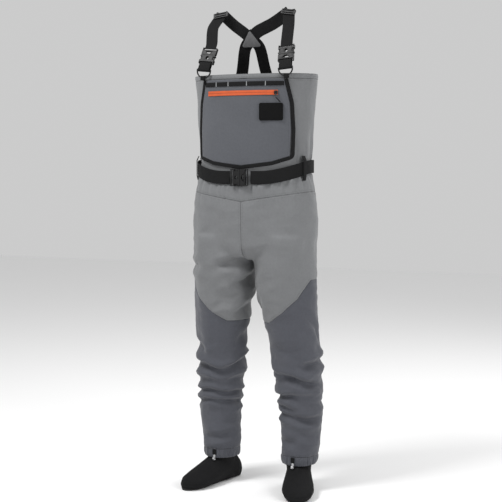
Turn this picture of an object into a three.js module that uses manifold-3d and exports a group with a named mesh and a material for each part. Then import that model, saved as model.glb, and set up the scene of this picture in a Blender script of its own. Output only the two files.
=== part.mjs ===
// Stocking-foot chest waders, standing in the worn shape.
// Millimetres, +Z up, the front faces -Y and the wearer's left is +X.
// The origin is on the ground, under the middle of the garment.
import * as THREE from 'three';
import { mergeVertices } from 'three/addons/utils/BufferGeometryUtils.js';
import Module from 'manifold-3d';

const wasm = await Module();
wasm.setup();

// ---- Driving dimensions -------------------------------------------------
const hemHeight = 1288;        // ground to the top edge of the bib, at the front
const crotchHeight = 755;
const cuffHeight = 84;         // ground to the lower edge of the leg cuffs
const chestHalfWidth = 191;
const chestHalfDepth = 102;
const legSpacing = 121;        // middle of the garment to the middle of the knee
const fabric = 2.6;            // laminate wall
const gap = 0.3;               // between pieces that touch
const backDrop = 45;           // how far the back edge dips below the front edge
const hemBand = 15;
const yokeHeight = 905;        // hip seam at the middle of the front
const yokeRise = 30;
const sideSeam = 22;           // side seams, behind the middle of the body

const pocketPile = 4.5;        // thickness of the chest pocket on the bib
const pocketTrim = 11;
const pocketTop = hemHeight - 16;
const strip = 1.8;             // thickness of tapes and patches sewn on the pocket
const zipHeight = hemHeight - 57;
const zipTape = 15;
const zipFrom = 73 - chestHalfWidth;
const zipTo = chestHalfWidth - 88;
const daisyHeight = hemHeight - 30;
const daisyHalf = chestHalfWidth - 63;
const daisyWidth = 13;
const patchMiddle = new THREE.Vector3(chestHalfWidth - 99, 0, hemHeight - 114);
const patchWidth = 72;
const patchHeight = 52;

const strapWidth = 38;
const strapThickness = 1.7;
const beltWidth = 40;
const beltThickness = 2;
const beltHeight = 978;        // middle of the belt at the front
const beltRise = 33;           // the belt climbs this much from front to side
const beltClear = 6;           // bib to belt, room for the foot of the pocket
const buckleWidth = strapWidth + 12;
const buckleThick = 10;
const barHalf = 2;             // half thickness of every bar that webbing goes round
const ringX = chestHalfWidth - 58;   // strap rings, from the middle of the bib
const strapTop = new THREE.Vector3(ringX - 21, -4, hemHeight + 188);
const crossMiddle = new THREE.Vector3(-24, 22, hemHeight + 113);

const soleThick = 6;
const neoprene = 5;
const footAhead = 172;         // ankle to toe tip
const footBehind = 80;         // ankle to heel
const toeOut = THREE.MathUtils.degToRad(19);

// ---- Finishes -----------------------------------------------------------
function finish(color, roughness, metalness = 0) {
  return () => new THREE.MeshStandardMaterial({ color, roughness, metalness });
}
const lightCloth = finish(0x84868a, 0.85);
const darkCloth = finish(0x5a5c62, 0.85);
const pocketCloth = finish(0x65666c, 0.8);
const webbing = finish(0x222222, 0.8);
const plastic = finish(0x1e1e1e, 0.45);
const orange = finish(0xdb622a, 0.6);
const greyPlate = finish(0x606060, 0.5);
const neopreneBlack = finish(0x1e1e1e, 0.9);
const steel = finish(0x9a9a9a, 0.3, 1);

// ---- Solids -------------------------------------------------------------
const group = new THREE.Group();

function solid(geometry) {
  const bare = geometry.clone();
  bare.deleteAttribute('normal');
  bare.deleteAttribute('uv');
  const merged = mergeVertices(bare, 1e-4);
  return new wasm.Manifold(new wasm.Mesh({
    numProp: 3,
    vertProperties: new Float32Array(merged.attributes.position.array),
    triVerts: new Uint32Array(merged.index.array),
  }));
}

function add(name, shape, material, parent = group) {
  const data = shape.getMesh();
  const geometry = new THREE.BufferGeometry();
  geometry.setAttribute('position', new THREE.BufferAttribute(data.vertProperties, 3));
  geometry.setIndex(new THREE.BufferAttribute(data.triVerts, 1));
  geometry.computeVertexNormals();
  const mesh = new THREE.Mesh(geometry, material());
  mesh.name = name;
  parent.add(mesh);
  return mesh;
}

function reshape(geometry, place) {
  const position = geometry.attributes.position;
  const point = new THREE.Vector3();
  for (let i = 0; i < position.count; i += 1) {
    point.fromBufferAttribute(position, i);
    const moved = place(point);
    position.setXYZ(i, moved.x, moved.y, moved.z);
  }
  return geometry;
}

function box(x0, x1, y0, y1, z0, z1) {
  const shape = new THREE.BoxGeometry(x1 - x0, y1 - y0, z1 - z0);
  shape.translate((x0 + x1) / 2, (y0 + y1) / 2, (z0 + z1) / 2);
  return solid(shape);
}

// A prism with its outline in X and Z, running along Y.
function prismXZ(points, y0, y1) {
  const outline = new THREE.Shape(points.map(([x, z]) => new THREE.Vector2(x, z)));
  const shape = new THREE.ExtrudeGeometry(outline, { depth: y1 - y0, bevelEnabled: false });
  shape.rotateX(Math.PI / 2);
  shape.translate(0, y1, 0);
  return solid(shape);
}

// A prism with its outline in Y and Z, running along X.
function prismYZ(points, x0, x1) {
  const outline = new THREE.Shape(points.map(([y, z]) => new THREE.Vector2(y, z)));
  const shape = new THREE.ExtrudeGeometry(outline, { depth: x1 - x0, bevelEnabled: false });
  shape.rotateX(Math.PI / 2);
  shape.rotateZ(Math.PI / 2);
  shape.translate(x0, 0, 0);
  return solid(shape);
}

// A plate with its outline in X and Y, from z0 to z1, with optional holes.
function plate(outline, z0, z1, holes = []) {
  const face = new THREE.Shape(outline);
  face.holes = holes.map((hole) => new THREE.Path(hole));
  const shape = new THREE.ExtrudeGeometry(face, { depth: z1 - z0, bevelEnabled: false });
  shape.translate(0, 0, z0);
  return solid(shape);
}

function vectors(pairs) {
  return pairs.map(([x, y]) => new THREE.Vector2(x, y));
}

function roundedBox(halfX, halfY, radius, middleX = 0, middleY = 0) {
  const points = [];
  const corners = [[1, 1], [-1, 1], [-1, -1], [1, -1]];
  corners.forEach(([sx, sy], corner) => {
    for (let step = 0; step <= 3; step += 1) {
      const angle = (corner + step / 3) * Math.PI / 2;
      points.push(new THREE.Vector2(
        middleX + sx * (halfX - radius) + radius * Math.cos(angle),
        middleY + sy * (halfY - radius) + radius * Math.sin(angle),
      ));
    }
  });
  return points;
}

// ---- The body of the garment: stacked oval sections ----------------------
// Each station is height, middle x, middle y, half width, half depth.
const bib = hemHeight - crotchHeight;
const widest = chestHalfWidth;
const deepest = chestHalfDepth;
const torsoStations = [
  [crotchHeight - 22, 0, 0, widest - 25, deepest - 30],
  [crotchHeight, 0, 0, widest + 6, deepest + 12],
  [crotchHeight + bib * 0.15, 0, 0, widest + 9, deepest + 16],
  [crotchHeight + bib * 0.29, 0, -2, widest + 8, deepest + 15],
  [crotchHeight + bib * 0.37, 0, -4, widest - 2, deepest + 10],
  [crotchHeight + bib * 0.44, 0, -4, widest - 14, deepest + 7],
  [crotchHeight + bib * 0.54, 0, -2, widest - 10, deepest + 7],
  [crotchHeight + bib * 0.72, 0, 0, widest - 3, deepest + 3],
  [crotchHeight + bib * 0.88, 0, 0, widest, deepest],
  [hemHeight + 1, 0, 0, widest + 11, deepest - 3],
];
const leg = crotchHeight - cuffHeight;
const spread = legSpacing;
const hipMiddle = widest * 0.515;
const legStations = [
  [cuffHeight, spread + 12, 39, 53, 57],
  [cuffHeight + leg * 0.04, spread + 13, 41, 57, 60],
  [cuffHeight + leg * 0.1, spread + 15, 46, 60, 63],
  [cuffHeight + leg * 0.285, spread + 17, 44, 65, 68],
  [cuffHeight + leg * 0.41, spread + 10, 36, 74, 75],
  [cuffHeight + leg * 0.52, spread + 3, 22, 76, 79],
  [cuffHeight + leg * 0.62, spread, 14, 81, 85],
  [cuffHeight + leg * 0.76, spread - 11, 4, 89, 93],
  [cuffHeight + leg * 0.83, hipMiddle + 5, 2, hipMiddle - 4, 99],
  [cuffHeight + leg * 0.94, hipMiddle + 1.5, 0, hipMiddle - 1, deepest + 4],
  [crotchHeight + 45, hipMiddle, 0, hipMiddle - 1, deepest + 7],
];

function sectionAt(stations, height) {
  const last = stations.length - 1;
  let low = 0;
  while (low < last - 1 && stations[low + 1][0] < height) low += 1;
  const [below, above] = [stations[low], stations[low + 1]];
  const share = THREE.MathUtils.clamp((height - below[0]) / (above[0] - below[0]), 0, 1);
  const [x, y, halfWidth, halfDepth] = [1, 2, 3, 4].map(
    (column) => THREE.MathUtils.lerp(below[column], above[column], share),
  );
  return { x, y, halfWidth, halfDepth };
}

function ovalPoint(section, angle, grow, squareness) {
  const power = 2 / squareness;
  const along = Math.sign(Math.cos(angle)) * Math.abs(Math.cos(angle)) ** power;
  const across = Math.sign(Math.sin(angle)) * Math.abs(Math.sin(angle)) ** power;
  return new THREE.Vector2(
    section.x + (section.halfWidth + grow) * along,
    section.y + (section.halfDepth + grow) * across,
  );
}

function ovalStack(stations, grow, sides, squareness, extendLow = 0, extendHigh = 0) {
  const heights = stations.map((station) => station[0]);
  heights[0] -= extendLow;
  heights[heights.length - 1] += extendHigh;
  const rows = heights.length - 1;
  const drum = new THREE.CylinderGeometry(1, 1, 1, sides, rows);
  return solid(reshape(drum, (point) => {
    const row = Math.round((point.y + 0.5) * rows);
    const station = stations[row];
    const section = sectionAt(stations, station[0]);
    const reach = Math.hypot(point.x, point.z);
    if (reach < 0.5) return new THREE.Vector3(section.x, section.y, heights[row]);
    const flat = ovalPoint(section, Math.atan2(-point.z, point.x), grow, squareness);
    return new THREE.Vector3(flat.x, flat.y, heights[row]);
  }));
}

const torsoSides = 34;
const legSides = 20;
const torsoSquareness = 2.2;
const legSquareness = 2;

function torso(grow, extendLow = 0, extendHigh = 0) {
  return ovalStack(torsoStations, grow, torsoSides, torsoSquareness, extendLow, extendHigh);
}

function mirrored(stations, side) {
  return stations.map(([z, x, y, a, b]) => [z, side * x, y, a, b]);
}

function legStack(side, grow, extendLow = 0) {
  return ovalStack(mirrored(legStations, side), grow, legSides, legSquareness, extendLow);
}

// y of the front of the torso, grown by grow, at a place across it and a height
function torsoFront(x, height, grow) {
  const section = sectionAt(torsoStations, height);
  const share = Math.abs(x) / (section.halfWidth + grow);
  const rest = Math.max(0, 1 - share ** torsoSquareness) ** (1 / torsoSquareness);
  return section.y - (section.halfDepth + grow) * rest;
}

// y of the back of the torso, grown by grow
function torsoBack(x, height, grow) {
  const section = sectionAt(torsoStations, height);
  return 2 * section.y - torsoFront(x, height, grow);
}

const reachOut = 400;          // past the garment on every side
const outerSkin = torso(0).add(legStack(1, 0)).add(legStack(-1, 0));
const hollow = torso(-fabric, -fabric, 30).add(legStack(1, -fabric, 30)).add(legStack(-1, -fabric, 30));
const shell = outerSkin.subtract(hollow);

// Everything under the top edge, which dips towards the middle of the back.
function underEdge(lower) {
  const top = hemHeight - lower;
  const bottom = crotchHeight - 100;
  return prismYZ([
    [-reachOut, bottom], [reachOut, bottom], [reachOut, top - backDrop],
    [deepest, top - backDrop], [sideSeam, top], [-reachOut, top],
  ], -reachOut, reachOut);
}

// Everything above or below a seam given across the garment, less half a gap.
function aboveSeam(seam, top = hemHeight + 60) {
  const line = seam.map(([x, z]) => [x, z + gap / 2]);
  return prismXZ([...line, [reachOut, top], [-reachOut, top]], -reachOut, reachOut);
}
function belowSeam(seam, bottom = 0) {
  const line = seam.map(([x, z]) => [x, z - gap / 2]);
  return prismXZ([[-reachOut, bottom], [reachOut, bottom], ...line.reverse()], -reachOut, reachOut);
}

const yokeSeam = [
  [-reachOut, yokeHeight + yokeRise], [-widest, yokeHeight + yokeRise],
  [0, yokeHeight], [widest, yokeHeight + yokeRise], [reachOut, yokeHeight + yokeRise],
];
// The dark lower legs start lower on the inside than on the outside.
const legSeamInside = 533;
const legSeamOutside = 668;
const legSeam = [
  [-reachOut, legSeamOutside], [-spread - 75, legSeamOutside],
  [-spread - 45, legSeamOutside - 56], [-spread, legSeamInside + 35], [-spread + 50, legSeamInside],
  [spread - 50, legSeamInside], [spread, legSeamInside + 35],
  [spread + 45, legSeamOutside - 56], [spread + 75, legSeamOutside], [reachOut, legSeamOutside],
];

const bibShell = shell.intersect(underEdge(0)).intersect(aboveSeam(yokeSeam));
const bibBody = bibShell.intersect(underEdge(hemBand + gap));
add('hem_band', bibShell.subtract(underEdge(hemBand)), lightCloth);
add('bib_front', bibBody.intersect(
  box(-reachOut, reachOut, -reachOut, sideSeam - gap / 2, 0, hemHeight + 50),
), lightCloth);
add('bib_back', bibBody.intersect(
  box(-reachOut, reachOut, sideSeam + gap / 2, reachOut, 0, hemHeight + 50),
), lightCloth);

const trousers = shell.intersect(belowSeam(yokeSeam));
const upperLegs = trousers.intersect(aboveSeam(legSeam));
const lowerLegs = trousers.intersect(belowSeam(legSeam));
const cuffBand = 28;
const sides = [['left', 1], ['right', -1]];

for (const [side, sign] of sides) {
  const outer = sign * reachOut;
  const half = box(
    Math.min(sign * gap / 2, outer), Math.max(sign * gap / 2, outer),
    -reachOut, reachOut, cuffHeight + cuffBand + gap, hemHeight,
  );
  add(`${side}_upper_leg`, upperLegs.intersect(half), lightCloth);
  add(`${side}_lower_leg`, lowerLegs.intersect(half), darkCloth);
  const cuffOuter = legStack(sign, 1.2);
  const cuffInner = legStack(sign, -fabric, 30);
  const cuffSlab = box(-reachOut, reachOut, -reachOut, reachOut, cuffHeight, cuffHeight + cuffBand);
  add(`${side}_leg_cuff`, cuffOuter.subtract(cuffInner).intersect(cuffSlab), darkCloth);
}

// ---- Neoprene booties -----------------------------------------------------
// Along the foot from heel to toe: share of length, half width, height.
const footLength = footAhead + footBehind;
const footStations = [
  [0, 12, 34], [0.04, 25, 62], [0.13, 35, 88], [0.28, 38, 104], [0.44, 42, 92],
  [0.6, 48, 70], [0.75, 50, 54], [0.87, 43, 44], [0.96, 26, 34], [1, 9, 24],
];
const footSides = 16;
const ankleHalfWidth = 41;
const ankleHalfDepth = 46;
const ankleTop = cuffHeight + 46;

function footStack(shrink) {
  const rows = footStations.length - 1;
  const drum = new THREE.CylinderGeometry(1, 1, 1, footSides, rows);
  return solid(reshape(drum, (point) => {
    const [share, halfWidth, height] = footStations[Math.round((point.y + 0.5) * rows)];
    const reach = Math.hypot(point.x, point.z);
    const angle = Math.atan2(-point.z, point.x);
    const along = THREE.MathUtils.lerp(footBehind - shrink, shrink - footAhead, share);
    const slimmer = Math.min(shrink, halfWidth * 0.6);
    const drop = 5;            // sinks below the ground, so that the sole is cut flat
    const tall = (height + drop) / 2 - shrink / 2;
    return new THREE.Vector3(
      reach * (halfWidth - slimmer) * Math.cos(angle),
      along,
      tall - drop + reach * tall * Math.sin(angle),
    );
  }));
}

function ankleStack(shrink, high) {
  const stations = [
    [soleThick + shrink, 0, 5, ankleHalfWidth - 8 - shrink, ankleHalfDepth - shrink],
    [60, 0, 3, ankleHalfWidth - 3 - shrink, ankleHalfDepth + 2 - shrink],
    [cuffHeight, 0, 1, ankleHalfWidth - shrink, ankleHalfDepth - shrink],
    [ankleTop + high, 0, 3, ankleHalfWidth + 2 - shrink, ankleHalfDepth - shrink],
  ];
  return ovalStack(stations, 0, footSides, 2);
}

for (const [side, sign] of sides) {
  const foot = new THREE.Group();
  foot.position.set(sign * (spread + 12), 35, 0);
  foot.rotation.z = sign * toeOut;
  group.add(foot);
  const ground = box(-reachOut, reachOut, -reachOut, reachOut, 0, 400);
  const outside = footStack(0).add(ankleStack(0, 0)).intersect(ground);
  const inside = footStack(neoprene).add(ankleStack(neoprene, 30));
  const upperSpace = box(-reachOut, reachOut, -reachOut, reachOut, soleThick + gap, 400);
  const soleSpace = box(-reachOut, reachOut, -reachOut, reachOut, -10, soleThick);
  add(`${side}_bootie`, outside.subtract(inside).intersect(upperSpace), neopreneBlack, foot);
  add(`${side}_bootie_sole`, outside.intersect(soleSpace), neopreneBlack, foot);

  // Webbing tab and steel lace hook in front of the cuff
  const cuff = sectionAt(mirrored(legStations, sign), cuffHeight + cuffBand / 2);
  const hook = new THREE.Group();
  hook.position.set(cuff.x, cuff.y - cuff.halfDepth - 2.6, cuffHeight + 21);
  group.add(hook);
  const tabHalf = 6;
  add(`${side}_hook_tab`, box(-tabHalf, tabHalf, -1.8, 0, -10, 6), webbing, hook);
  const wire = [
    [-1.2, 0], [0, 0], [0, -13], [-1, -16], [-6.4, -16], [-7.6, -13], [-7.6, -7],
    [-6.4, -7], [-6.4, -13], [-5.6, -14.8], [-1.8, -14.8], [-1.2, -13],
  ];
  const hookPlate = prismYZ(wire, -3.5, 3.5);
  const swing = new THREE.Group();
  swing.position.set(0, -0.3, -11.3 - gap);
  hook.add(swing);
  add(`${side}_lace_hook`, hookPlate, steel, swing);
}

// ---- Chest pocket ---------------------------------------------------------
function layer(low, high) {
  return torso(high).subtract(torso(low, 10, 10));
}

// Half outline of the pocket from its top to its foot: half width, drop below its top.
const pocketWide = chestHalfWidth - 33;
const pocketHalf = [
  [pocketWide - 20, 0], [pocketWide - 4, 72], [pocketWide, 152],
  [pocketWide - 3, 237], [pocketWide - 63, 257], [0, 269],
];
function pocketOutline(trim) {
  const half = pocketHalf.map(([x, drop], index) => {
    const lift = index > 2 ? trim : 0;
    return [Math.max(0, x - trim), pocketTop - drop + lift];
  });
  const mirror = half.slice(0, -1).reverse().map(([x, z]) => [-x, z]);
  return [...half, ...mirror].reverse();
}

const pocketLayer = layer(gap, pocketPile);
const wholePocket = prismXZ(pocketOutline(0), -reachOut, 0);
const pocketFace = prismXZ(pocketOutline(pocketTrim), -reachOut, 0);
const pocketEdge = prismXZ(pocketOutline(pocketTrim - gap), -reachOut, 0);
add('chest_pocket', pocketLayer.intersect(pocketFace), pocketCloth);
const trimRing = pocketLayer.intersect(wholePocket).subtract(pocketEdge);
const trimCorner = pocketWide - 40;  // the side trims end and the bottom trim starts here
const below = [0, hemHeight];
add('pocket_trim_left', trimRing.intersect(
  box(trimCorner + gap / 2, reachOut, -reachOut, 0, ...below),
), webbing);
add('pocket_trim_right', trimRing.intersect(
  box(-reachOut, -trimCorner - gap / 2, -reachOut, 0, ...below),
), webbing);
add('pocket_trim_bottom', trimRing.intersect(
  box(-trimCorner + gap / 2, trimCorner - gap / 2, -reachOut, 0, 0, hemHeight - 200),
), webbing);

// Webbing sewn down at intervals, for clips and small tools
const daisyLayer = layer(pocketPile + gap, pocketPile + gap + strip);
add('daisy_chain', daisyLayer.intersect(box(
  -daisyHalf, daisyHalf, -reachOut, 0, daisyHeight - daisyWidth / 2, daisyHeight + daisyWidth / 2,
)), webbing);

// Hook-and-loop patch with a flat front for flies
const patchFace = torsoFront(patchMiddle.x, patchMiddle.z, pocketPile) - 3.5;
const patchTurn = Math.atan2(
  torsoFront(patchMiddle.x + 30, patchMiddle.z, 0) - torsoFront(patchMiddle.x - 30, patchMiddle.z, 0),
  60,
);
const patchTilt = Math.atan2(
  torsoFront(patchMiddle.x, patchMiddle.z + 30, 0) - torsoFront(patchMiddle.x, patchMiddle.z - 30, 0),
  60,
);
const patchBlock = plate(roundedBox(patchWidth / 2, patchHeight / 2, 5), -12, 0);
const patchMatrix = new THREE.Matrix4().compose(
  new THREE.Vector3(patchMiddle.x, patchFace, patchMiddle.z),
  new THREE.Quaternion().setFromEuler(new THREE.Euler(Math.PI / 2 - patchTilt, 0, patchTurn, 'ZXY')),
  new THREE.Vector3(1, 1, 1),
);
const patchShape = patchBlock.transform(patchMatrix.elements);
add('hook_loop_patch', patchShape.subtract(torso(pocketPile + gap, 10, 10)), webbing);

// Zip: its tape follows one arc, and the slider runs round the same centre
const zipLift = pocketPile + 1.6;
const zipHalf = Math.max(zipTo, -zipFrom);
const zipFront = torsoFront(0, zipHeight, zipLift);
const zipSag = torsoFront(zipHalf, zipHeight, zipLift) - zipFront;
const zipRadius = (zipHalf * zipHalf + zipSag * zipSag) / (2 * zipSag);
const zipCentreY = zipFront + zipRadius;

function zipSector(inner, outer, fromX, toX, low, high) {
  const steps = 10;
  const start = Math.asin(fromX / zipRadius);
  const end = Math.asin(toX / zipRadius);
  const arc = (radius) => Array.from({ length: steps + 1 }, (unused, i) => {
    const angle = THREE.MathUtils.lerp(start, end, i / steps);
    return new THREE.Vector2(radius * Math.sin(angle), zipCentreY - radius * Math.cos(angle));
  });
  return plate([...arc(inner), ...arc(outer).reverse()], low, high);
}

const zipSolid = zipSector(
  zipRadius - 8, zipRadius, zipFrom, zipTo + 8, zipHeight - zipTape / 2, zipHeight + zipTape / 2,
);
add('zip_tape', zipSolid.subtract(torso(pocketPile + gap, 10, 10)), orange);
const sliderHalf = 5;
const sliderX = zipTo + 2;
const sliderThick = 3.4;
const sliderInner = zipRadius + gap;
const zipRun = new THREE.Group();
zipRun.name = 'zip_centre';
zipRun.position.set(0, zipCentreY, zipHeight);
group.add(zipRun);
add('zip_slider', zipSector(
  sliderInner, sliderInner + sliderThick, sliderX - sliderHalf, sliderX + sliderHalf,
  zipHeight - 5, zipHeight + 5,
).translate(zipRun.position.clone().negate().toArray()), plastic, zipRun);

// The pull swings in front of the slider's face
const pull = new THREE.Group();
const pullAngle = Math.asin(sliderX / zipRadius);
const pullReach = sliderInner + sliderThick + 1 + gap;
pull.position.set(
  pullReach * Math.sin(pullAngle), zipCentreY - pullReach * Math.cos(pullAngle), zipHeight - 4,
);
pull.rotation.z = pullAngle;
group.add(pull);
add('zip_pull_tab', box(-2.5, 2.5, -0.9, 0.9, -9, -gap), steel, pull);
const pullLine = new THREE.CatmullRomCurve3([
  new THREE.Vector3(0, 0, -9 - 4 * gap), new THREE.Vector3(3, -1, -14),
  new THREE.Vector3(8, -2, -19), new THREE.Vector3(14, -3, -25),
]);
const pullSection = new THREE.Shape(Array.from({ length: 8 }, (unused, i) => new THREE.Vector2(
  1.5 * Math.cos(i * Math.PI / 4), 1.5 * Math.sin(i * Math.PI / 4),
)));
add('zip_puller', solid(new THREE.ExtrudeGeometry(
  pullSection, { steps: 8, bevelEnabled: false, extrudePath: pullLine },
)), webbing, pull);

// ---- Webbing ribbons --------------------------------------------------------
// A flat ribbon along a curve. faceAt gives the direction that its face looks in.
function ribbon(points, width, thickness, faceAt, steps) {
  const curve = new THREE.CatmullRomCurve3(points, false, 'centripetal');
  const strapBox = new THREE.BoxGeometry(1, 1, 1, 1, 1, steps);
  return solid(reshape(strapBox, (corner) => {
    const along = corner.z + 0.5;
    const middle = curve.getPoint(along);
    const tangent = curve.getTangent(along);
    const across = new THREE.Vector3().crossVectors(faceAt(along), tangent).normalize();
    const normal = new THREE.Vector3().crossVectors(tangent, across).normalize();
    return middle
      .addScaledVector(across, corner.x * width)
      .addScaledVector(normal, corner.y * thickness);
  }));
}

// ---- Side-release buckle ------------------------------------------------------
// In its own frame: X across the webbing, Y towards the male half, Z outwards.
const socket = 22;             // depth of the female half's pocket
const barZone = 9;             // slot and bar at the end of each half
const maleBase = 25;
const armRoot = 15.5;
const armHalf = 2.5;
const armPlay = 0.5;
const slotHigh = 5.5;

function buckle(name, parent, tall) {
  const half = tall / 2;
  const thick = buckleThick / 2;
  const narrow = half - 2.5;
  const slot = (from, to) => box(-narrow, narrow, from, to, -20, 20);
  const thinBar = (from, to) => box(-narrow, narrow, from, to, barHalf, 20)
    .add(box(-narrow, narrow, from, to, -20, -barHalf));
  const oval = plate(roundedBox(5, 6, 4.8, 0, -socket / 2), -20, 20);
  const notch = (sign) => box(
    Math.min(sign * (half - 7), sign * 60), Math.max(sign * (half - 7), sign * 60), -17, -6, -20, 20,
  );
  const female = plate(roundedBox(half, (socket + barZone) / 2, 3, 0, -(socket + barZone) / 2), -thick, thick)
    .subtract(box(-half + 2.5, half - 2.5, -socket + 2, 5, -thick + 2, thick - 2))
    .subtract(oval)
    .subtract(notch(1))
    .subtract(notch(-1))
    .subtract(slot(-socket - barZone + 3, -socket - 1))
    .subtract(thinBar(-socket - barZone - 5, -socket - barZone + 3 + gap));
  add(`${name}_female`, female, plastic, parent);

  const window = plate(vectors([[-13, 13], [13, 13], [3.5, 4.5], [-3.5, 4.5]]), -20, 20);
  const rail = (x) => box(x - 1.5, x + 1.5, -socket + 4, 3, -2.5, 2.5);
  const baseOutline = roundedBox(half - 0.5, maleBase / 2, 3, 0, armPlay + maleBase / 2);
  const male = plate(baseOutline, -thick + 0.5, thick - 0.5)
    .subtract(window)
    .subtract(slot(maleBase - slotHigh - 2.5, maleBase - 2.5))
    .subtract(thinBar(maleBase - 2.5 - gap, maleBase + 10))
    .add(rail(7))
    .add(rail(-7));
  add(`${name}_male`, male, plastic, parent);

  for (const [side, sign] of [['a', 1], ['b', -1]]) {
    const stem = box(-armHalf, armHalf, -socket + 4.5, 0, -2.4, 2.4);
    const outward = sign * (half - armRoot - 1.2);
    const tab = box(Math.min(0, outward), Math.max(0, outward), -15.5, -7.5, -2.4, 2.4);
    const arm = new THREE.Group();
    arm.position.set(sign * armRoot, 0, 0);
    arm.name = `${name}_arm_${side}_pivot`;
    parent.add(arm);
    add(`${name}_arm_${side}`, stem.add(tab), plastic, arm);
  }
}

// A loop of webbing round two bars, seen from its side: Y up, Z outwards.
function webbingLoop(length, width) {
  const inner = barHalf * Math.SQRT2 + gap + 0.024 * width;
  const stadium = (radius) => {
    const points = [];
    for (let i = 0; i <= 6; i += 1) {
      const angle = i * Math.PI / 6;
      points.push(new THREE.Vector2(radius * Math.cos(angle), length + radius * Math.sin(angle)));
    }
    for (let i = 6; i <= 12; i += 1) {
      const angle = i * Math.PI / 6;
      points.push(new THREE.Vector2(radius * Math.cos(angle), radius * Math.sin(angle)));
    }
    return points;
  };
  const face = new THREE.Shape(stadium(inner + strapThickness));
  face.holes = [new THREE.Path(stadium(inner))];
  const shape = new THREE.ExtrudeGeometry(face, { depth: width, bevelEnabled: false });
  shape.translate(0, 0, -width / 2);
  shape.rotateY(Math.PI / 2);
  return solid(shape);
}

function placeAlong(parent, origin, up, across) {
  const y = up.clone().normalize();
  const z = new THREE.Vector3().crossVectors(across, y).normalize();
  const x = new THREE.Vector3().crossVectors(y, z);
  parent.quaternion.setFromRotationMatrix(new THREE.Matrix4().makeBasis(x, y, z));
  parent.position.copy(origin);
}

// ---- Shoulder straps ------------------------------------------------------------
const ringHeight = hemHeight + 16;   // bar of the strap ring
const ringHalf = strapWidth / 2 + 5;
const ringClear = 1.2;
const buckleStart = 20;              // ring bar to the buckle
const strapBow = { left: 2, right: 14 };
const adjusterTurn = 0.28;           // its outer end hangs lower, in radians

for (const [side, sign] of sides) {
  const ringBar = new THREE.Vector3(
    sign * ringX, torsoFront(ringX - ringHalf, hemHeight, 0) - barHalf - ringClear, ringHeight,
  );
  const top = new THREE.Vector3(sign * strapTop.x, strapTop.y, strapTop.z);
  const line = top.clone().sub(ringBar).normalize();
  const across = new THREE.Vector3(1, 0, 0);
  const ringTurn = new THREE.Group();
  placeAlong(ringTurn, ringBar, new THREE.Vector3(line.x, 0, line.z), across);
  group.add(ringTurn);

  // D-ring, its straight bar above and its bow below
  const bow = (halfWidth, low, high) => {
    const points = [new THREE.Vector2(-halfWidth, high)];
    for (let i = 0; i <= 10; i += 1) {
      const angle = Math.PI + i * Math.PI / 10;
      points.push(new THREE.Vector2(halfWidth * Math.cos(angle), -4 + (low - 4) * -Math.sin(angle)));
    }
    points.push(new THREE.Vector2(halfWidth, high));
    return points;
  };
  const ring = plate(
    bow(ringHalf, -18, barHalf), -barHalf, barHalf, [bow(ringHalf - 4, -14, -barHalf)],
  );
  add(`${side}_d_ring`, ring, plastic, ringTurn);

  // Tab that ties the ring's bow to the head of the pocket trim
  const tabOuter = roundedBox(4.1, 6.8, 3.5, 0, 0);
  const tabInner = roundedBox(2.5, 5.2, 2.2, 0, 0);
  const tabFace = new THREE.Shape(tabOuter);
  tabFace.holes = [new THREE.Path(tabInner)];
  const tabShape = new THREE.ExtrudeGeometry(tabFace, { depth: 14, bevelEnabled: false });
  tabShape.translate(0, -24.9, -7);
  tabShape.rotateY(Math.PI / 2);
  add(`${side}_ring_tab`, solid(tabShape), webbing, ringTurn);

  const loopGroup = new THREE.Group();
  placeAlong(loopGroup, ringBar, line, across);
  group.add(loopGroup);
  const maleBelow = side === 'left';
  const barInset = 1.5;
  add(`${side}_lower_webbing`, webbingLoop(buckleStart + barInset, strapWidth), webbing, loopGroup);

  const lowerHalf = maleBelow ? maleBase + armPlay : socket + barZone;
  const mating = ringBar.clone().addScaledVector(line, buckleStart + lowerHalf);
  const buckleGroup = new THREE.Group();
  placeAlong(buckleGroup, mating, maleBelow ? line.clone().negate() : line,
    maleBelow ? new THREE.Vector3(-1, 0, 0) : across);
  group.add(buckleGroup);
  buckle(`${side}_buckle`, buckleGroup, buckleWidth);

  // Front strap, from the buckle's upper bar to the adjuster
  const buckleLength = maleBase + armPlay + socket + barZone;
  const face = new THREE.Vector3().crossVectors(across, line).normalize();
  const strapStart = buckleStart + buckleLength - 5;
  const strapEnd = top.clone().sub(ringBar).length() + 6;
  const lift = barHalf + gap + strapThickness / 2;
  const bowAt = (share) => Math.sin(Math.PI * Math.max(0, share - 0.12) / 0.88) ** 2;
  const strapPoints = [0, 0.12, 0.35, 0.6, 0.85, 1].map((share) => ringBar.clone()
    .addScaledVector(line, THREE.MathUtils.lerp(strapStart, strapEnd, share))
    .addScaledVector(face, lift)
    .add(new THREE.Vector3(sign * strapBow[side] * bowAt(share), 0, 0)));
  add(`${side}_front_strap`, ribbon(strapPoints, strapWidth, strapThickness, () => face, 10), webbing);

  // Two-bar adjuster across the strap's top
  const adjuster = new THREE.Group();
  placeAlong(adjuster, ringBar.clone().addScaledVector(line, strapEnd - 9), line, across);
  adjuster.rotateZ(-sign * adjusterTurn);
  group.add(adjuster);
  const adjusterLow = lift + strapThickness / 2 + gap;
  const adjusterOutline = roundedBox(strapWidth / 2 + 4, 8.5, 2.5);
  add(`${side}_strap_adjuster`, plate(adjusterOutline, adjusterLow, adjusterLow + 4.5, [
    roundedBox(strapWidth / 2, 1.6, 1, 0, 4), roundedBox(strapWidth / 2, 1.6, 1, 0, -4),
  ]), plastic, adjuster);
}

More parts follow.
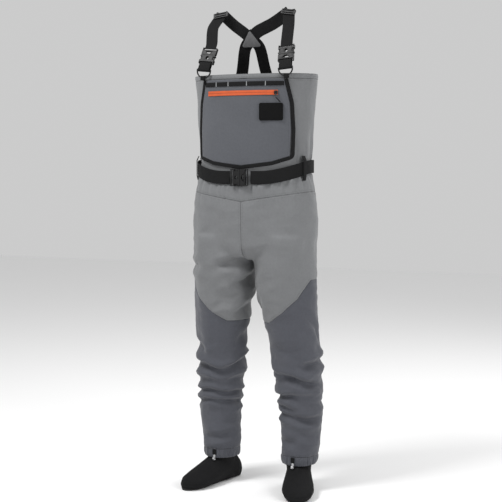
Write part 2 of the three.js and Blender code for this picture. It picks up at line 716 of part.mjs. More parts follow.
// Back straps: each crosses the middle of the back and is sewn to the opposite side
const anchorSpread = 52;
const anchorShift = -45;
const backOffset = strapThickness / 2 + 4.5;
const crossLean = 0.36;              // the straps' plane leans back towards its foot
const crossFace = new THREE.Vector3(0, -Math.cos(crossLean), -Math.sin(crossLean));
const crossDown = new THREE.Vector3(0, Math.sin(crossLean), -Math.cos(crossLean));
const crossStack = strapThickness + 1.2;
const backEdge = hemHeight - backDrop;
for (const [side, sign] of sides) {
  const behind = side === 'left' ? 0 : -crossStack;
  const anchorX = anchorShift - sign * anchorSpread;
  const start = new THREE.Vector3(sign * (strapTop.x - 2), strapTop.y + 8, strapTop.z + 2);
  const middle = crossMiddle.clone().addScaledVector(crossFace, behind);
  const run = new THREE.Vector3(-0.7 * sign, 0, 0).addScaledVector(crossDown, 0.714);
  const clearOfEdge = new THREE.Vector3(anchorX, torsoBack(anchorX, backEdge, backOffset + 3), backEdge + 6);
  const low = new THREE.Vector3(anchorX, torsoBack(anchorX, backEdge - 60, backOffset), backEdge - 60);
  const before = middle.clone().addScaledVector(run, -30);
  const after = middle.clone().addScaledVector(run, 30);
  const points = [
    start, start.clone().lerp(before, 0.5).add(new THREE.Vector3(0, 2, -3)), before, middle, after,
    after.clone().lerp(clearOfEdge, 0.5), clearOfEdge, clearOfEdge.clone().lerp(low, 0.5), low,
  ];
  const slope = (torsoBack(anchorX + 15, backEdge, 0) - torsoBack(anchorX - 15, backEdge, 0)) / 30;
  const backFace = new THREE.Vector3(slope, -1, 0).normalize();
  const looks = (along) => crossFace.clone().lerp(backFace, THREE.MathUtils.smoothstep(along, 0.5, 0.7));
  add(`${side}_back_strap`, ribbon(points, strapWidth, strapThickness, looks, 22), webbing);
}
for (const [side, sign] of sides) {
  const x = anchorShift + sign * anchorSpread;
  const patchLayer = layer(gap, 2);
  add(`${side}_anchor_patch`, patchLayer.intersect(
    box(x - 30, x + 30, 0, reachOut, backEdge - 85, backEdge - hemBand - 8),
  ), darkCloth);
}

// Cross plate over the straps and its backing behind them
const crossFacing = new THREE.Group();
crossFacing.position.copy(crossMiddle);
crossFacing.rotation.x = Math.PI / 2 + crossLean;
group.add(crossFacing);
function triangle(size) {
  const points = [];
  [[0, 22], [-25, -17], [25, -17]].forEach(([x, y], corner) => {
    for (let i = 0; i <= 4; i += 1) {
      const angle = Math.PI / 6 + corner * 2 * Math.PI / 3 + i * Math.PI / 6;
      points.push(new THREE.Vector2(x * size + 5 * Math.cos(angle), y * size + 5 * Math.sin(angle)));
    }
  });
  return points;
}
const crossClear = strapThickness / 2 + 1;
add('cross_plate', plate(triangle(1), crossClear, crossClear + 3.5), greyPlate, crossFacing);
add('cross_backing', plate(
  triangle(1.22), -crossStack - crossClear - 2.5, -crossStack - crossClear,
), plastic, crossFacing);

// ---- Wading belt ------------------------------------------------------------------
function beltMiddle(y) {
  const front = torsoFront(0, beltHeight, 0);
  const share = THREE.MathUtils.clamp((y - front) / -front, 0, 1);
  return beltHeight + beltRise * Math.sin(share * Math.PI / 2);
}
function beltPoint(angle, lift) {
  let height = beltHeight;
  let flat = null;
  for (let pass = 0; pass < 3; pass += 1) {
    flat = ovalPoint(sectionAt(torsoStations, height), angle, lift, torsoSquareness);
    height = beltMiddle(flat.y);
  }
  return new THREE.Vector3(flat.x, flat.y, height);
}
const beltLift = beltClear + beltThickness / 2;
const beltBuckle = new THREE.Group();
const beltFace = torsoFront(0, beltHeight, beltClear + buckleThick / 2);
placeAlong(beltBuckle, new THREE.Vector3(2, beltFace, beltHeight), new THREE.Vector3(1, 0, 0),
  new THREE.Vector3(0, 0, -1));
group.add(beltBuckle);
buckle('belt_buckle', beltBuckle, beltWidth + 12);

const beltSteps = 44;
const beltReach = (socket + barZone + maleBase) / 2 + 2;
const beltStart = Math.asin(beltReach / (widest + beltLift));
const beltLoopPoints = Array.from({ length: beltSteps + 1 }, (unused, i) => beltPoint(
  -Math.PI / 2 + THREE.MathUtils.lerp(beltStart, 2 * Math.PI - beltStart, i / beltSteps), beltLift,
));
const upright = new THREE.Vector3(0, 0, 1);
const beltCurve = new THREE.CatmullRomCurve3(beltLoopPoints);
add('belt', ribbon(beltLoopPoints, beltWidth, beltThickness, (along) => {
  const tangent = beltCurve.getTangent(along);
  return new THREE.Vector3().crossVectors(tangent, upright);
}, beltSteps), webbing);

// Loops that hold the belt on the garment: left side, right side and middle of the back
const loopAngles = [['left', -0.32], ['right', Math.PI + 0.32], ['rear', Math.PI / 2]];
const loopWidth = 14;
for (const [place, angle] of loopAngles) {
  const foot = beltPoint(angle, 0);
  const outer = beltPoint(angle, beltLift + beltThickness / 2 + 1.6);
  const away = outer.clone().sub(foot).setZ(0).normalize();
  const holder = new THREE.Group();
  placeAlong(holder, foot, upright, new THREE.Vector3().crossVectors(upright, away));
  group.add(holder);
  const footAt = (rise) => {
    const wall = ovalPoint(sectionAt(torsoStations, foot.z + rise), angle, 3 * gap, torsoSquareness);
    return (wall.x - foot.x) * away.x + (wall.y - foot.y) * away.y;
  };
  const stand = beltLift + beltThickness / 2 + 1.2;
  const tall = beltWidth / 2 + 8;
  const low = footAt(-tall - 9);
  const high = footAt(tall + 9);
  const bridge = [
    [low, -tall - 9], [low + 1.6, -tall - 9], [stand + 1.6, -tall + 4], [stand + 1.6, tall - 4],
    [high + 1.6, tall + 9], [high, tall + 9], [stand, tall - 5], [stand, -tall + 5],
  ];
  const bridgeShape = new THREE.ExtrudeGeometry(
    new THREE.Shape(vectors(bridge)), { depth: loopWidth, bevelEnabled: false },
  );
  bridgeShape.translate(0, 0, -loopWidth / 2);
  bridgeShape.rotateY(-Math.PI / 2);
  add(`${place}_belt_loop`, solid(bridgeShape), webbing, holder);
}

// The ground point under the middle of everything is the origin
const extent = new THREE.Box3().setFromObject(group);
group.position.set(-(extent.min.x + extent.max.x) / 2, -(extent.min.y + extent.max.y) / 2, 0);

export default group;
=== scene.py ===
import math

import bpy
import numpy as np
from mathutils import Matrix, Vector, noise
from mathutils.kdtree import KDTree


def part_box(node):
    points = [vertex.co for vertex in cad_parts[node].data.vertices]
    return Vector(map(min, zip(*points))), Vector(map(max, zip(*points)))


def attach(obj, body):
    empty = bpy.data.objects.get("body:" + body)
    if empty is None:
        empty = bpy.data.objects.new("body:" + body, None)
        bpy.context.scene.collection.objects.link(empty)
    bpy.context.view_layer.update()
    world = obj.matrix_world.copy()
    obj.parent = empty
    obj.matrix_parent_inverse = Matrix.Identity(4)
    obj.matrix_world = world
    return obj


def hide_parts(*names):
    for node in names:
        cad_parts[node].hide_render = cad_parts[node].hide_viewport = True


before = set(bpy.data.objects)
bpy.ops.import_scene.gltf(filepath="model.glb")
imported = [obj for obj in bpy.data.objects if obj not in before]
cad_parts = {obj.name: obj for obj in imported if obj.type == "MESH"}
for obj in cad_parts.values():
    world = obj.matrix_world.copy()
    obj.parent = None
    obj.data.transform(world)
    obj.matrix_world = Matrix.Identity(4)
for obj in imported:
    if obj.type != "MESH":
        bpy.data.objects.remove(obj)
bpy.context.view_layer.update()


# Studio: a pale seamless floor, a key high at the front left, a soft box on the right and a rim
# light behind. None of it belongs to the garment.
def deselect():
    if bpy.context.object and bpy.context.object.mode != "OBJECT":
        bpy.ops.object.mode_set(mode="OBJECT")
    bpy.ops.object.select_all(action="DESELECT")


deselect()
bpy.ops.mesh.primitive_plane_add(size=14, location=(0, 0, 0))
floor = bpy.context.object
floor.name = "studio_floor"
floor_paint = bpy.data.materials.new("studio_floor")
floor_paint.use_nodes = True
floor_shader = floor_paint.node_tree.nodes["Principled BSDF"]
floor_shader.inputs["Base Color"].default_value = (0.93, 0.93, 0.93, 1)
floor_shader.inputs["Roughness"].default_value = 0.9
floor.data.materials.append(floor_paint)

world = bpy.data.worlds.new("studio")
bpy.context.scene.world = world
world.use_nodes = True
world.node_tree.nodes["Background"].inputs["Color"].default_value = (1, 1, 1, 1)
world.node_tree.nodes["Background"].inputs["Strength"].default_value = 0.60
bpy.context.scene.view_settings.view_transform = "Standard"


def softbox(name, place, aim, width, height, power):
    bpy.ops.object.light_add(type="AREA", location=place)
    lamp = bpy.context.object
    lamp.name = name
    lamp.data.shape = "RECTANGLE"
    lamp.data.size = width
    lamp.data.size_y = height
    lamp.data.energy = power
    lamp.rotation_euler = (Vector(aim) - Vector(place)).to_track_quat("-Z", "Y").to_euler()


softbox("key", (-1.1, -1.5, 3.3), (0, 0, 0.7), 0.9, 0.9, 78)
softbox("side", (2.9, -1.3, 1.7), (0, 0, 0.8), 1.3, 1.6, 42)
softbox("rim", (1.4, 2.2, 2.4), (0, 0, 0.9), 1.4, 1.2, 26)


# The garment's own middle lies a few millimetres behind the frame's middle. Every size below is
# worked from the garment's middle, which is 8 mm behind the middle of a boot.
shift = (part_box("left_bootie")[0].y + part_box("left_bootie")[1].y) / 2 + 0.0080

# Camera: turned 23 degrees towards the wearer's left, at chest height, with a long lens.
camera_turn = math.radians(22.8)
camera_far = 3.532
bpy.ops.object.camera_add(location=(
    camera_far * math.sin(camera_turn), shift - camera_far * math.cos(camera_turn), 1.031,
))
camera = bpy.context.object
camera.rotation_euler = (Vector((0, shift, 0.748)) - camera.location).to_track_quat("-Z", "Y").to_euler()
camera.data.lens = 81.6
camera.data.sensor_width = 36
camera.data.shift_x = -0.0092
bpy.context.scene.camera = camera


# Cloth of the garment: three-layer laminate with a matt woven face, light grey on the bib and
# the thighs and dark grey on the lower legs. It is cut in panels that are stitched and taped.
class Shade:
    """A socket of a material's tree, used as a value in Python expressions."""

    def __init__(self, tree, socket=None):
        self.tree = tree
        self.socket = socket

    def node(self, kind, settings=None, inputs=None, output=0):
        made = self.tree.nodes.new(kind)
        for name, value in (settings or {}).items():
            setattr(made, name, value)
        for key, value in (inputs or {}).items():
            if isinstance(value, Shade):
                self.tree.links.new(value.socket, made.inputs[key])
            else:
                made.inputs[key].default_value = value
        return Shade(self.tree, made.outputs[output])

    def maths(self, operation, first, second=0.0):
        return self.node("ShaderNodeMath", {"operation": operation}, {0: first, 1: second})

    def __add__(self, other):
        return self.maths("ADD", self, other)

    def __radd__(self, other):
        return self.maths("ADD", other, self)

    def __sub__(self, other):
        return self.maths("SUBTRACT", self, other)

    def __rsub__(self, other):
        return self.maths("SUBTRACT", other, self)

    def __mul__(self, other):
        return self.maths("MULTIPLY", self, other)

    def __rmul__(self, other):
        return self.maths("MULTIPLY", other, self)


def new_material(name):
    material = bpy.data.materials.new(name)
    material.use_nodes = True
    tree = material.node_tree
    return material, Shade(tree), tree.nodes["Principled BSDF"]


def link(value, shader, socket):
    value.tree.links.new(value.socket, shader.inputs[socket])


def attribute(start, name):
    return start.node("ShaderNodeAttribute", {"attribute_name": name}, output=2)


def line_at(value, place, half):
    """One on a line where value is place, fading to none at half to each side."""
    off = value.maths("ABSOLUTE", value - place)
    return value.node("ShaderNodeMapRange", {"interpolation_type": "SMOOTHSTEP"},
                      {0: off, 1: 0.0, 2: half, 3: 1.0, 4: 0.0})


def tinted(start, shade, colour, dark, light=1.0):
    low = tuple(channel * dark for channel in colour) + (1,)
    high = tuple(min(1, channel * light) for channel in colour) + (1,)
    return start.node("ShaderNodeMix", {"data_type": "RGBA"}, {0: shade, 6: low, 7: high}, output=2)


def cloth(name, colour, roughness=0.74, ribs=0.0):
    material, start, shader = new_material(name)
    place = start.node("ShaderNodeTexCoord", output=3)
    broad = start.node("ShaderNodeTexNoise", inputs={"Vector": place, "Scale": 7.0, "Detail": 4.0})
    mottle = start.node("ShaderNodeTexNoise", inputs={"Vector": place, "Scale": 160.0, "Detail": 3.0})
    warp = start.node("ShaderNodeTexWave", {"bands_direction": "Z"}, {"Vector": place, "Scale": 300.0})
    weft = start.node("ShaderNodeTexWave", {"bands_direction": "X"}, {"Vector": place, "Scale": 300.0})
    edge = attribute(start, "edge")
    thread = start.node("ShaderNodeTexWave", {"bands_direction": "DIAGONAL"},
                        {"Vector": place, "Scale": 75.0})
    seam = line_at(edge, 0.0, 0.0024)
    stitch = line_at(edge, 0.0065, 0.0011) * thread
    weave = warp * weft
    shade = 0.42 * broad + 0.30 * mottle + 0.14 * weave - 0.75 * seam - 0.45 * stitch + 0.12
    link(tinted(start, shade, colour, 0.66, 1.22), shader, "Base Color")
    link(roughness - 0.16 * mottle + 0.06, shader, "Roughness")
    crease = start.node("ShaderNodeTexNoise", inputs={"Vector": place, "Scale": 26.0, "Detail": 5.0})
    height = 0.9 * crease + 0.16 * mottle + 0.08 * weave - 0.30 * stitch
    if ribs:
        split = start.node("ShaderNodeSeparateXYZ", inputs={0: place}, output=0)
        deep = start.node("ShaderNodeSeparateXYZ", inputs={0: place}, output=1)
        across = start.maths("ABSOLUTE", split) - leg_sections[1][1]
        turn = start.maths("ARCTAN2", deep - (leg_sections[1][2] + shift), across)
        height = height + ribs * start.maths("SINE", turn * 58.0)
    bump = start.node("ShaderNodeBump", inputs={"Height": height, "Strength": 0.5, "Distance": 0.0022})
    link(bump, shader, "Normal")
    shader.inputs["Sheen Weight"].default_value = 0.15
    shader.inputs["Sheen Roughness"].default_value = 0.5
    shader.inputs["Specular IOR Level"].default_value = 0.35
    return material


# Sections of the garment: height, middle x, middle y, half width, half depth, all in metres.
torso_squareness = 2.2
torso_sections = np.array([
    [0.720, 0, 0.000, 0.150, 0.060],
    [0.755, 0, 0.000, 0.195, 0.112],
    [0.835, 0, 0.000, 0.200, 0.118],
    [0.910, 0, -0.002, 0.198, 0.117],
    [0.952, 0, -0.004, 0.188, 0.112],
    [0.990, 0, -0.004, 0.175, 0.107],
    [1.043, 0, -0.002, 0.181, 0.109],
    [1.139, 0, 0.000, 0.188, 0.105],
    [1.224, 0, 0.000, 0.191, 0.102],
    [1.289, 0, 0.000, 0.202, 0.099],
])
leg_sections = np.array([
    [0.060, 0.133, 0.039, 0.053, 0.057],
    [0.084, 0.133, 0.039, 0.053, 0.057],
    [0.111, 0.134, 0.041, 0.057, 0.060],
    [0.151, 0.136, 0.046, 0.060, 0.063],
    [0.275, 0.138, 0.044, 0.065, 0.068],
    [0.359, 0.131, 0.036, 0.074, 0.075],
    [0.433, 0.124, 0.022, 0.076, 0.079],
    [0.500, 0.121, 0.014, 0.081, 0.085],
    [0.594, 0.110, 0.004, 0.089, 0.093],
    [0.641, 0.104, 0.002, 0.094, 0.099],
    [0.715, 0.100, 0.000, 0.097, 0.106],
    [0.800, 0.098, 0.000, 0.097, 0.109],
])


def section(table, height, spread=0.02):
    """Middle and half sizes at each height, rounded over where two stations meet."""
    steps = np.linspace(-spread, spread, 7)
    rows = [[np.interp(height + step, table[:, 0], table[:, column]) for step in steps]
            for column in (1, 2, 3, 4)]
    return [np.mean(row, axis=0) for row in rows]


def place_points(mesh, points):
    mesh.vertices.foreach_set("co", np.asarray(points, np.float32).ravel())
    mesh.update()


def points_of(mesh):
    points = np.empty(len(mesh.vertices) * 3, np.float32)
    mesh.vertices.foreach_get("co", points)
    return points.reshape(-1, 3).astype(float)


def drum(rows, around):
    """A closed drum of unit radius, one unit of Z for each row, drawn out ring by ring."""
    deselect()
    bpy.ops.mesh.primitive_circle_add(vertices=around, radius=1, fill_type="NGON", location=(0, 0, 0))
    made = bpy.context.object
    bpy.ops.object.mode_set(mode="EDIT")
    bpy.ops.mesh.select_all(action="SELECT")
    for row in range(rows):
        bpy.ops.mesh.extrude_region_move(TRANSFORM_OT_translate={"value": (0, 0, 1)})
    bpy.ops.mesh.select_all(action="SELECT")
    bpy.ops.mesh.normals_make_consistent(inside=False)
    bpy.ops.object.mode_set(mode="OBJECT")
    return made


def oval_drum(table, low, high, squareness, side=1, rows=90, around=96):
    made = drum(rows, around)
    points = points_of(made.data)
    height = low + (high - low) * points[:, 2] / rows
    angle = np.arctan2(points[:, 1], points[:, 0])
    x, y, half_width, half_depth = section(table, height)
    power = 2 / squareness
    cos, sin = np.cos(angle), np.sin(angle)
    across = side * x + half_width * np.sign(cos) * np.abs(cos) ** power
    deep = y + half_depth * np.sign(sin) * np.abs(sin) ** power
    place_points(made.data, np.column_stack([across, deep + shift, height]))
    return made


def joined(pieces):
    """Joins the pieces into the first of them, which stays active."""
    deselect()
    for piece in pieces:
        piece.select_set(True)
    bpy.context.view_layer.objects.active = pieces[0]
    bpy.ops.object.join()
    return pieces[0]


def remesh_smoothed(piece, voxel, passes):
    """Remeshes the active piece in even faces and smooths it."""
    piece.data.remesh_voxel_size = voxel
    bpy.ops.object.voxel_remesh()
    bpy.ops.object.mode_set(mode="EDIT")
    bpy.ops.mesh.select_all(action="SELECT")
    bpy.ops.mesh.vertices_smooth(factor=0.5, repeat=passes)
    bpy.ops.object.mode_set(mode="OBJECT")


hem_height = 1.288
back_drop = 0.045
side_seam = 0.022
cuff_low = 0.084
cuff_high = 0.112
garment_parts = [
    oval_drum(torso_sections, 0.728, hem_height + 0.02, torso_squareness),
    oval_drum(leg_sections, 0.070, 0.80, 2.0, 1),
    oval_drum(leg_sections, 0.070, 0.80, 2.0, -1),
]
garment = joined(garment_parts)
remesh_smoothed(garment, 0.0042, 14)

# Creases of the standing cloth: side, start and end of the line as an angle round the leg from
# its front (degrees, positive to the wearer's left) and a height, then the depth in millimetres
# before it is deepened, and the half breadth in metres.
deepened = 1.4
creases = [
    (-1, -80, 0.390, 18, 0.374, 11.0, 0.013),
    (-1, 8, 0.372, 120, 0.408, 11.0, 0.013),
    (-1, -75, 0.330, 10, 0.345, 5.0, 0.014),
    (-1, 20, 0.352, 110, 0.330, 5.0, 0.013),
    (-1, -85, 0.298, 115, 0.300, 8.0, 0.010),
    (-1, -70, 0.262, 60, 0.276, 6.0, 0.009),
    (-1, 30, 0.272, 120, 0.262, 6.0, 0.010),
    (-1, -40, 0.150, 55, 0.156, 6.0, 0.012),
    (-1, 40, 0.205, 110, 0.190, 3.5, 0.014),
    (-1, -75, 0.455, -20, 0.430, 5.0, 0.016),
    (-1, 60, 0.470, 115, 0.500, 5.0, 0.017),
    (-1, -80, 0.704, -25, 0.702, 5.0, 0.014),
    (-1, 5, 0.708, 60, 0.724, 10.0, 0.016),
    (-1, 35, 0.640, 115, 0.680, 12.0, 0.018),
    (-1, 10, 0.600, 75, 0.628, 7.0, 0.018),
    (-1, 50, 0.560, 120, 0.585, 6.0, 0.018),
    (1, -60, 0.374, 85, 0.332, 11.0, 0.013),
    (1, 30, 0.402, 125, 0.418, 10.0, 0.013),
    (1, -80, 0.352, -20, 0.346, 8.0, 0.012),
    (1, -80, 0.300, 60, 0.296, 9.0, 0.010),
    (1, 0, 0.282, 100, 0.270, 5.0, 0.011),
    (1, -75, 0.242, 80, 0.230, 9.0, 0.010),
    (1, -50, 0.268, 10, 0.252, 5.0, 0.009),
    (1, -60, 0.150, 0, 0.162, 5.0, 0.012),
    (1, 10, 0.190, 80, 0.175, 3.5, 0.014),
    (1, -50, 0.440, 40, 0.455, 4.0, 0.020),
    (1, 50, 0.560, 110, 0.480, 5.0, 0.020),
    (1, -100, 0.540, -40, 0.590, 5.0, 0.018),
    (1, 140, 0.420, 230, 0.400, 8.0, 0.013),
    (1, 130, 0.360, 220, 0.380, 8.0, 0.012),
    (1, 140, 0.310, 230, 0.292, 6.0, 0.012),
    (1, 130, 0.240, 215, 0.250, 5.0, 0.012),
    (1, 120, 0.640, 205, 0.700, 6.0, 0.018),
    (1, 130, 0.570, 215, 0.610, 5.0, 0.018),
    (-1, 140, 0.410, 230, 0.392, 8.0, 0.013),
    (-1, 130, 0.350, 225, 0.372, 8.0, 0.012),
    (-1, 140, 0.308, 220, 0.290, 6.0, 0.012),
    (-1, 135, 0.236, 220, 0.246, 5.0, 0.012),
    (-1, 155, 0.690, 235, 0.640, 6.0, 0.018),
    (-1, 150, 0.600, 230, 0.560, 5.0, 0.018),
]


def normals_of(mesh):
    normals = np.empty(len(mesh.vertices) * 3, np.float32)
    mesh.vertex_normals.foreach_get("vector", normals)
    return normals.reshape(-1, 3).astype(float)


def soft_noise(points, scale, seed):
    offset = Vector((seed, seed * 0.7, -seed))
    return np.array([noise.noise(Vector(point) * scale + offset) for point in points])


def smooth_step(value, low, high):
    share = np.clip((value - low) / (high - low), 0, 1)
    return share * share * (3 - 2 * share)


points = points_of(garment.data)
normals = normals_of(garment.data)
height = points[:, 2]
side_of = np.where(points[:, 0] > 0, 1, -1)
leg_x, leg_y, leg_wide, leg_deep = section(leg_sections, height)
round_leg = np.degrees(np.arctan2(points[:, 0] - side_of * leg_x, -(points[:, 1] - shift - leg_y)))
push = np.zeros(len(points))
wander = soft_noise(np.column_stack([points[:, 0], points[:, 1], height * 0.6]), 13.0, 7.7)
for side, from_angle, from_height, to_angle, to_height, depth, breadth in creases:
    middle = (from_angle + to_angle) / 2
    half = abs(to_angle - from_angle) / 2
    away = (round_leg - middle + 180) % 360 - 180
    line = from_height + (to_height - from_height) * np.clip((away + half) / (2 * half), 0, 1)
    line += 0.013 * wander
    off = (height - line) / breadth
    along = np.exp(-(away / half) ** 4)
    groove = -np.exp(-np.abs(off) ** 1.4) + 0.65 * np.exp(-np.abs(off - 1.6) ** 1.6)
    groove += 0.60 * np.exp(-np.abs(off + 1.8) ** 1.8)
    push += np.where(side_of == side, 1, 0) * along * groove * deepened * depth / 1000

# Cloth gathers under the belt, puckers at the cuffs' elastic, and stays flatter on the bib.
round_body = np.arctan2(points[:, 0], -(points[:, 1] - shift))
front = 0.978 + 0.033 * np.sin(np.clip((points[:, 1] - shift + 0.112) / 0.112, 0, 1) * math.pi / 2)
under_belt = (front - 0.020) - height
gather_mask = smooth_step(under_belt, -0.004, 0.008) * np.exp(-np.clip(under_belt, 0, 1) / 0.030)
over_belt = height - (front + 0.020)
over_mask = smooth_step(over_belt, -0.004, 0.008) * np.exp(-np.clip(over_belt, 0, 1) / 0.022)
ripple = soft_noise(np.column_stack([round_body * 8.5, height * 6, height * 0]), 1.0, 3.1)
ripple += 0.5 * soft_noise(np.column_stack([round_body * 19, height * 9, height * 0]), 1.0, 8.4)
belly = np.abs(round_body) < 1.25
push += gather_mask * (0.0035 + 0.0140 * ripple)
for turn, breadth in ((1.22, 0.09), (1.62, 0.08), (-1.35, 0.09), (2.3, 0.12), (-2.2, 0.12)):
    tuck = np.exp(-((round_body - turn + 0.9 * (height - 1.04)) / breadth) ** 2)
    push -= 0.0085 * tuck * smooth_step(height, 1.00, 1.03) * smooth_step(-height, -1.15, -1.04)
push += over_mask * np.where(belly, 0.15, 1.0) * (0.002 + 0.006 * ripple)
cuff_mask = np.exp(-((height - 0.097) / 0.018) ** 2)
leg_turn = np.radians(round_leg) * 9
pucker = soft_noise(np.column_stack([leg_turn + side_of, height * 14, height * 0]), 1.0, 5.5)
gathers = np.abs(np.sin(leg_turn + 2.2 * pucker))
push += cuff_mask * (0.0042 * gathers - 0.0016)
upright = soft_noise(points * [1, 1, 0.22], 17.0, 2.9)
push += 0.0052 * upright * smooth_step(-height, -0.95, -0.86) * smooth_step(height, 0.11, 0.16)
big = soft_noise(points, 7.0, 1.7)
middling = soft_noise(points * [1, 1, 0.7], 19.0, 4.2)
small = soft_noise(points * [1, 1, 0.6], 42.0, 6.6)
on_bib = smooth_step(height, 0.93, 1.02)
on_shin = smooth_step(-height, -0.48, -0.42) * smooth_step(height, 0.19, 0.25)
inner_thigh = smooth_step(-height, -0.74, -0.68) * smooth_step(height, 0.50, 0.56) * (1 - smooth_step(
    np.abs(points[:, 0]), 0.09, 0.15)) * np.where(side_of < 0, 1, 0.35)
broken = np.abs(soft_noise(points * [1, 1, 2.1], 10.0, 2.3))
fine_broken = np.abs(soft_noise(points * [1, 1, 1.6], 21.0, 9.1))
push += (0.30 + 0.70 * on_shin + 0.6 * inner_thigh) * (1 - on_bib) * (
    0.0030 - 0.0125 * broken + 0.0012 - 0.0052 * fine_broken)
flat_front = on_bib * np.where(points[:, 1] < shift - 0.03, 1, 0)
push += (0.0030 * big + 0.0022 * middling + 0.0011 * small) * (1 - 0.85 * flat_front) - 0.0008 * flat_front
under_strap = np.exp(-((height - front) / 0.018) ** 4)
push = push * (1 - under_strap) - 0.002 * under_strap
points += normals * np.clip(push, -0.018, 0.011)[:, None]
place_points(garment.data, points)

# Panels are cut along the seams. A seam is a plane set on edge, used over a stretch of X.
yoke_low = 0.905
yoke_rise = 0.030
yoke_side = 0.191
back_depth = 0.102
seam_ends = [(0.071, 0.533), (0.121, 0.568), (0.166, 0.612), (0.196, 0.668)]


def yoke_at(x):
    return yoke_low + yoke_rise * np.clip(np.abs(x) / yoke_side, 0, 1)


def leg_seam_at(x):
    places, heights = zip(*seam_ends)
    return np.interp(np.abs(x), places, heights)


def edge_at(y, lower=0.0):
    """Height of the garment's top edge, which dips towards the middle of the back."""
    share = np.clip((y - shift - side_seam) / (back_depth - side_seam), 0, 1)
    return hem_height - lower - back_drop * share


def cut(target, chosen, through, facing):
    """Scores the chosen faces along a plane."""
    mesh = target.data
    centres = np.array([face.center for face in mesh.polygons])
    picked = chosen(centres)
    mesh.polygons.foreach_set("select", picked)
    bpy.context.view_layer.objects.active = target
    bpy.ops.object.mode_set(mode="EDIT")
    bpy.ops.mesh.select_mode(type="FACE")
    bpy.ops.mesh.bisect(plane_co=through, plane_no=facing)
    bpy.ops.object.mode_set(mode="OBJECT")


def clear_selection(mesh):
    for kind in (mesh.vertices, mesh.edges, mesh.polygons):
        kind.foreach_set("select", np.zeros(len(kind), bool))


def cut_line(target, x_low, z_low, x_high, z_high, mirror_side):
    clear_selection(target.data)
    facing = Vector((-(z_high - z_low) * mirror_side, 0, x_high - x_low)).normalized()
    middle = (z_low + z_high) / 2
    cut(target, lambda c: (c[:, 0] * mirror_side > x_low - 0.001) & (c[:, 0] * mirror_side < x_high + 0.001)
        & (np.abs(c[:, 2] - middle) < 0.12), (x_low * mirror_side, 0, z_low), facing)


for mirror_side in (1, -1):
    cut_line(garment, -0.0005, yoke_low, yoke_side, yoke_low + yoke_rise, mirror_side)
    cut_line(garment, yoke_side, yoke_low + yoke_rise, 0.26, yoke_low + yoke_rise, mirror_side)
    cut_line(garment, 0.0, seam_ends[0][1], seam_ends[0][0], seam_ends[0][1], mirror_side)
    for (x_low, z_low), (x_high, z_high) in zip(seam_ends[:-1], seam_ends[1:]):
        cut_line(garment, x_low, z_low, x_high, z_high, mirror_side)
    cut_line(garment, seam_ends[-1][0], seam_ends[-1][1], 0.26, seam_ends[-1][1], mirror_side)
for level in (cuff_low, cuff_high):
    clear_selection(garment.data)
    cut(garment, lambda c: np.abs(c[:, 2] - level) < 0.03, (0, 0, level), (0, 0, 1))
clear_selection(garment.data)
cut(garment, lambda c: (np.abs(c[:, 0]) < 0.02) & (c[:, 2] < 0.93), (0, 0, 0), (1, 0, 0))
clear_selection(garment.data)
cut(garment, lambda c: c[:, 2] > 0.90, (0, shift + side_seam, 0), (0, 1, 0))
slope = back_drop / (back_depth - side_seam)
hem_band_tall = 0.015
for lower in (0.0, hem_band_tall):
    clear_selection(garment.data)
    cut(garment, lambda c: (c[:, 1] <= shift + side_seam) & (c[:, 2] > 1.2),
        (0, 0, hem_height - lower), (0, 0, 1))
    clear_selection(garment.data)
    cut(garment, lambda c: (c[:, 1] > shift + side_seam) & (c[:, 2] > 1.15),
        (0, shift + side_seam, hem_height - lower), (0, slope, 1))

centres = np.array([face.center for face in garment.data.polygons])
c_x, c_y, c_z = centres.T
above_edge = c_z > edge_at(c_y)
in_hem = (c_z > edge_at(c_y, hem_band_tall)) & ~above_edge
above_yoke = c_z > yoke_at(c_x)
above_leg_seam = c_z > leg_seam_at(c_x)
in_front = c_y < shift + side_seam
in_cuff = (c_z < cuff_high) & (c_z > cuff_low)
on_left = c_x > 0
bib = above_yoke & ~in_hem & ~above_edge
trousers = ~above_yoke & (c_z > cuff_high)
panels = {
    "hem_band": in_hem,
    "bib_front": bib & in_front,
    "bib_back": bib & ~in_front,
    "left_upper_leg": trousers & above_leg_seam & on_left,
    "right_upper_leg": trousers & above_leg_seam & ~on_left,
    "left_lower_leg": trousers & ~above_leg_seam & on_left,
    "right_lower_leg": trousers & ~above_leg_seam & ~on_left,
    "left_leg_cuff": in_cuff & on_left,
    "right_leg_cuff": in_cuff & ~on_left,
}
light_cloth = cloth("light_grey_cloth", (0.150, 0.154, 0.159))
dark_cloth = cloth("dark_grey_cloth", (0.060, 0.063, 0.076))
cuff_cloth = cloth("cuff_cloth", (0.060, 0.063, 0.076), ribs=0.5)


def apply_modifiers(target):
    bpy.context.view_layer.objects.active = target
    for modifier in list(target.modifiers):
        bpy.ops.object.modifier_apply(modifier=modifier.name)


def give_wall(piece, thickness):
    """Thickens an open panel inwards, from the face that shows."""
    wall = piece.modifiers.new("wall", "SOLIDIFY")
    wall.thickness = thickness
    wall.offset = -1
    apply_modifiers(piece)


def write_attribute(piece, name, values):
    made = piece.data.attributes.new(name, "FLOAT", "POINT")
    made.data.foreach_set("value", np.asarray(values, np.float32))


def smooth_all(piece):
    piece.data.polygons.foreach_set("use_smooth", np.ones(len(piece.data.polygons), bool))
    piece.data.update()


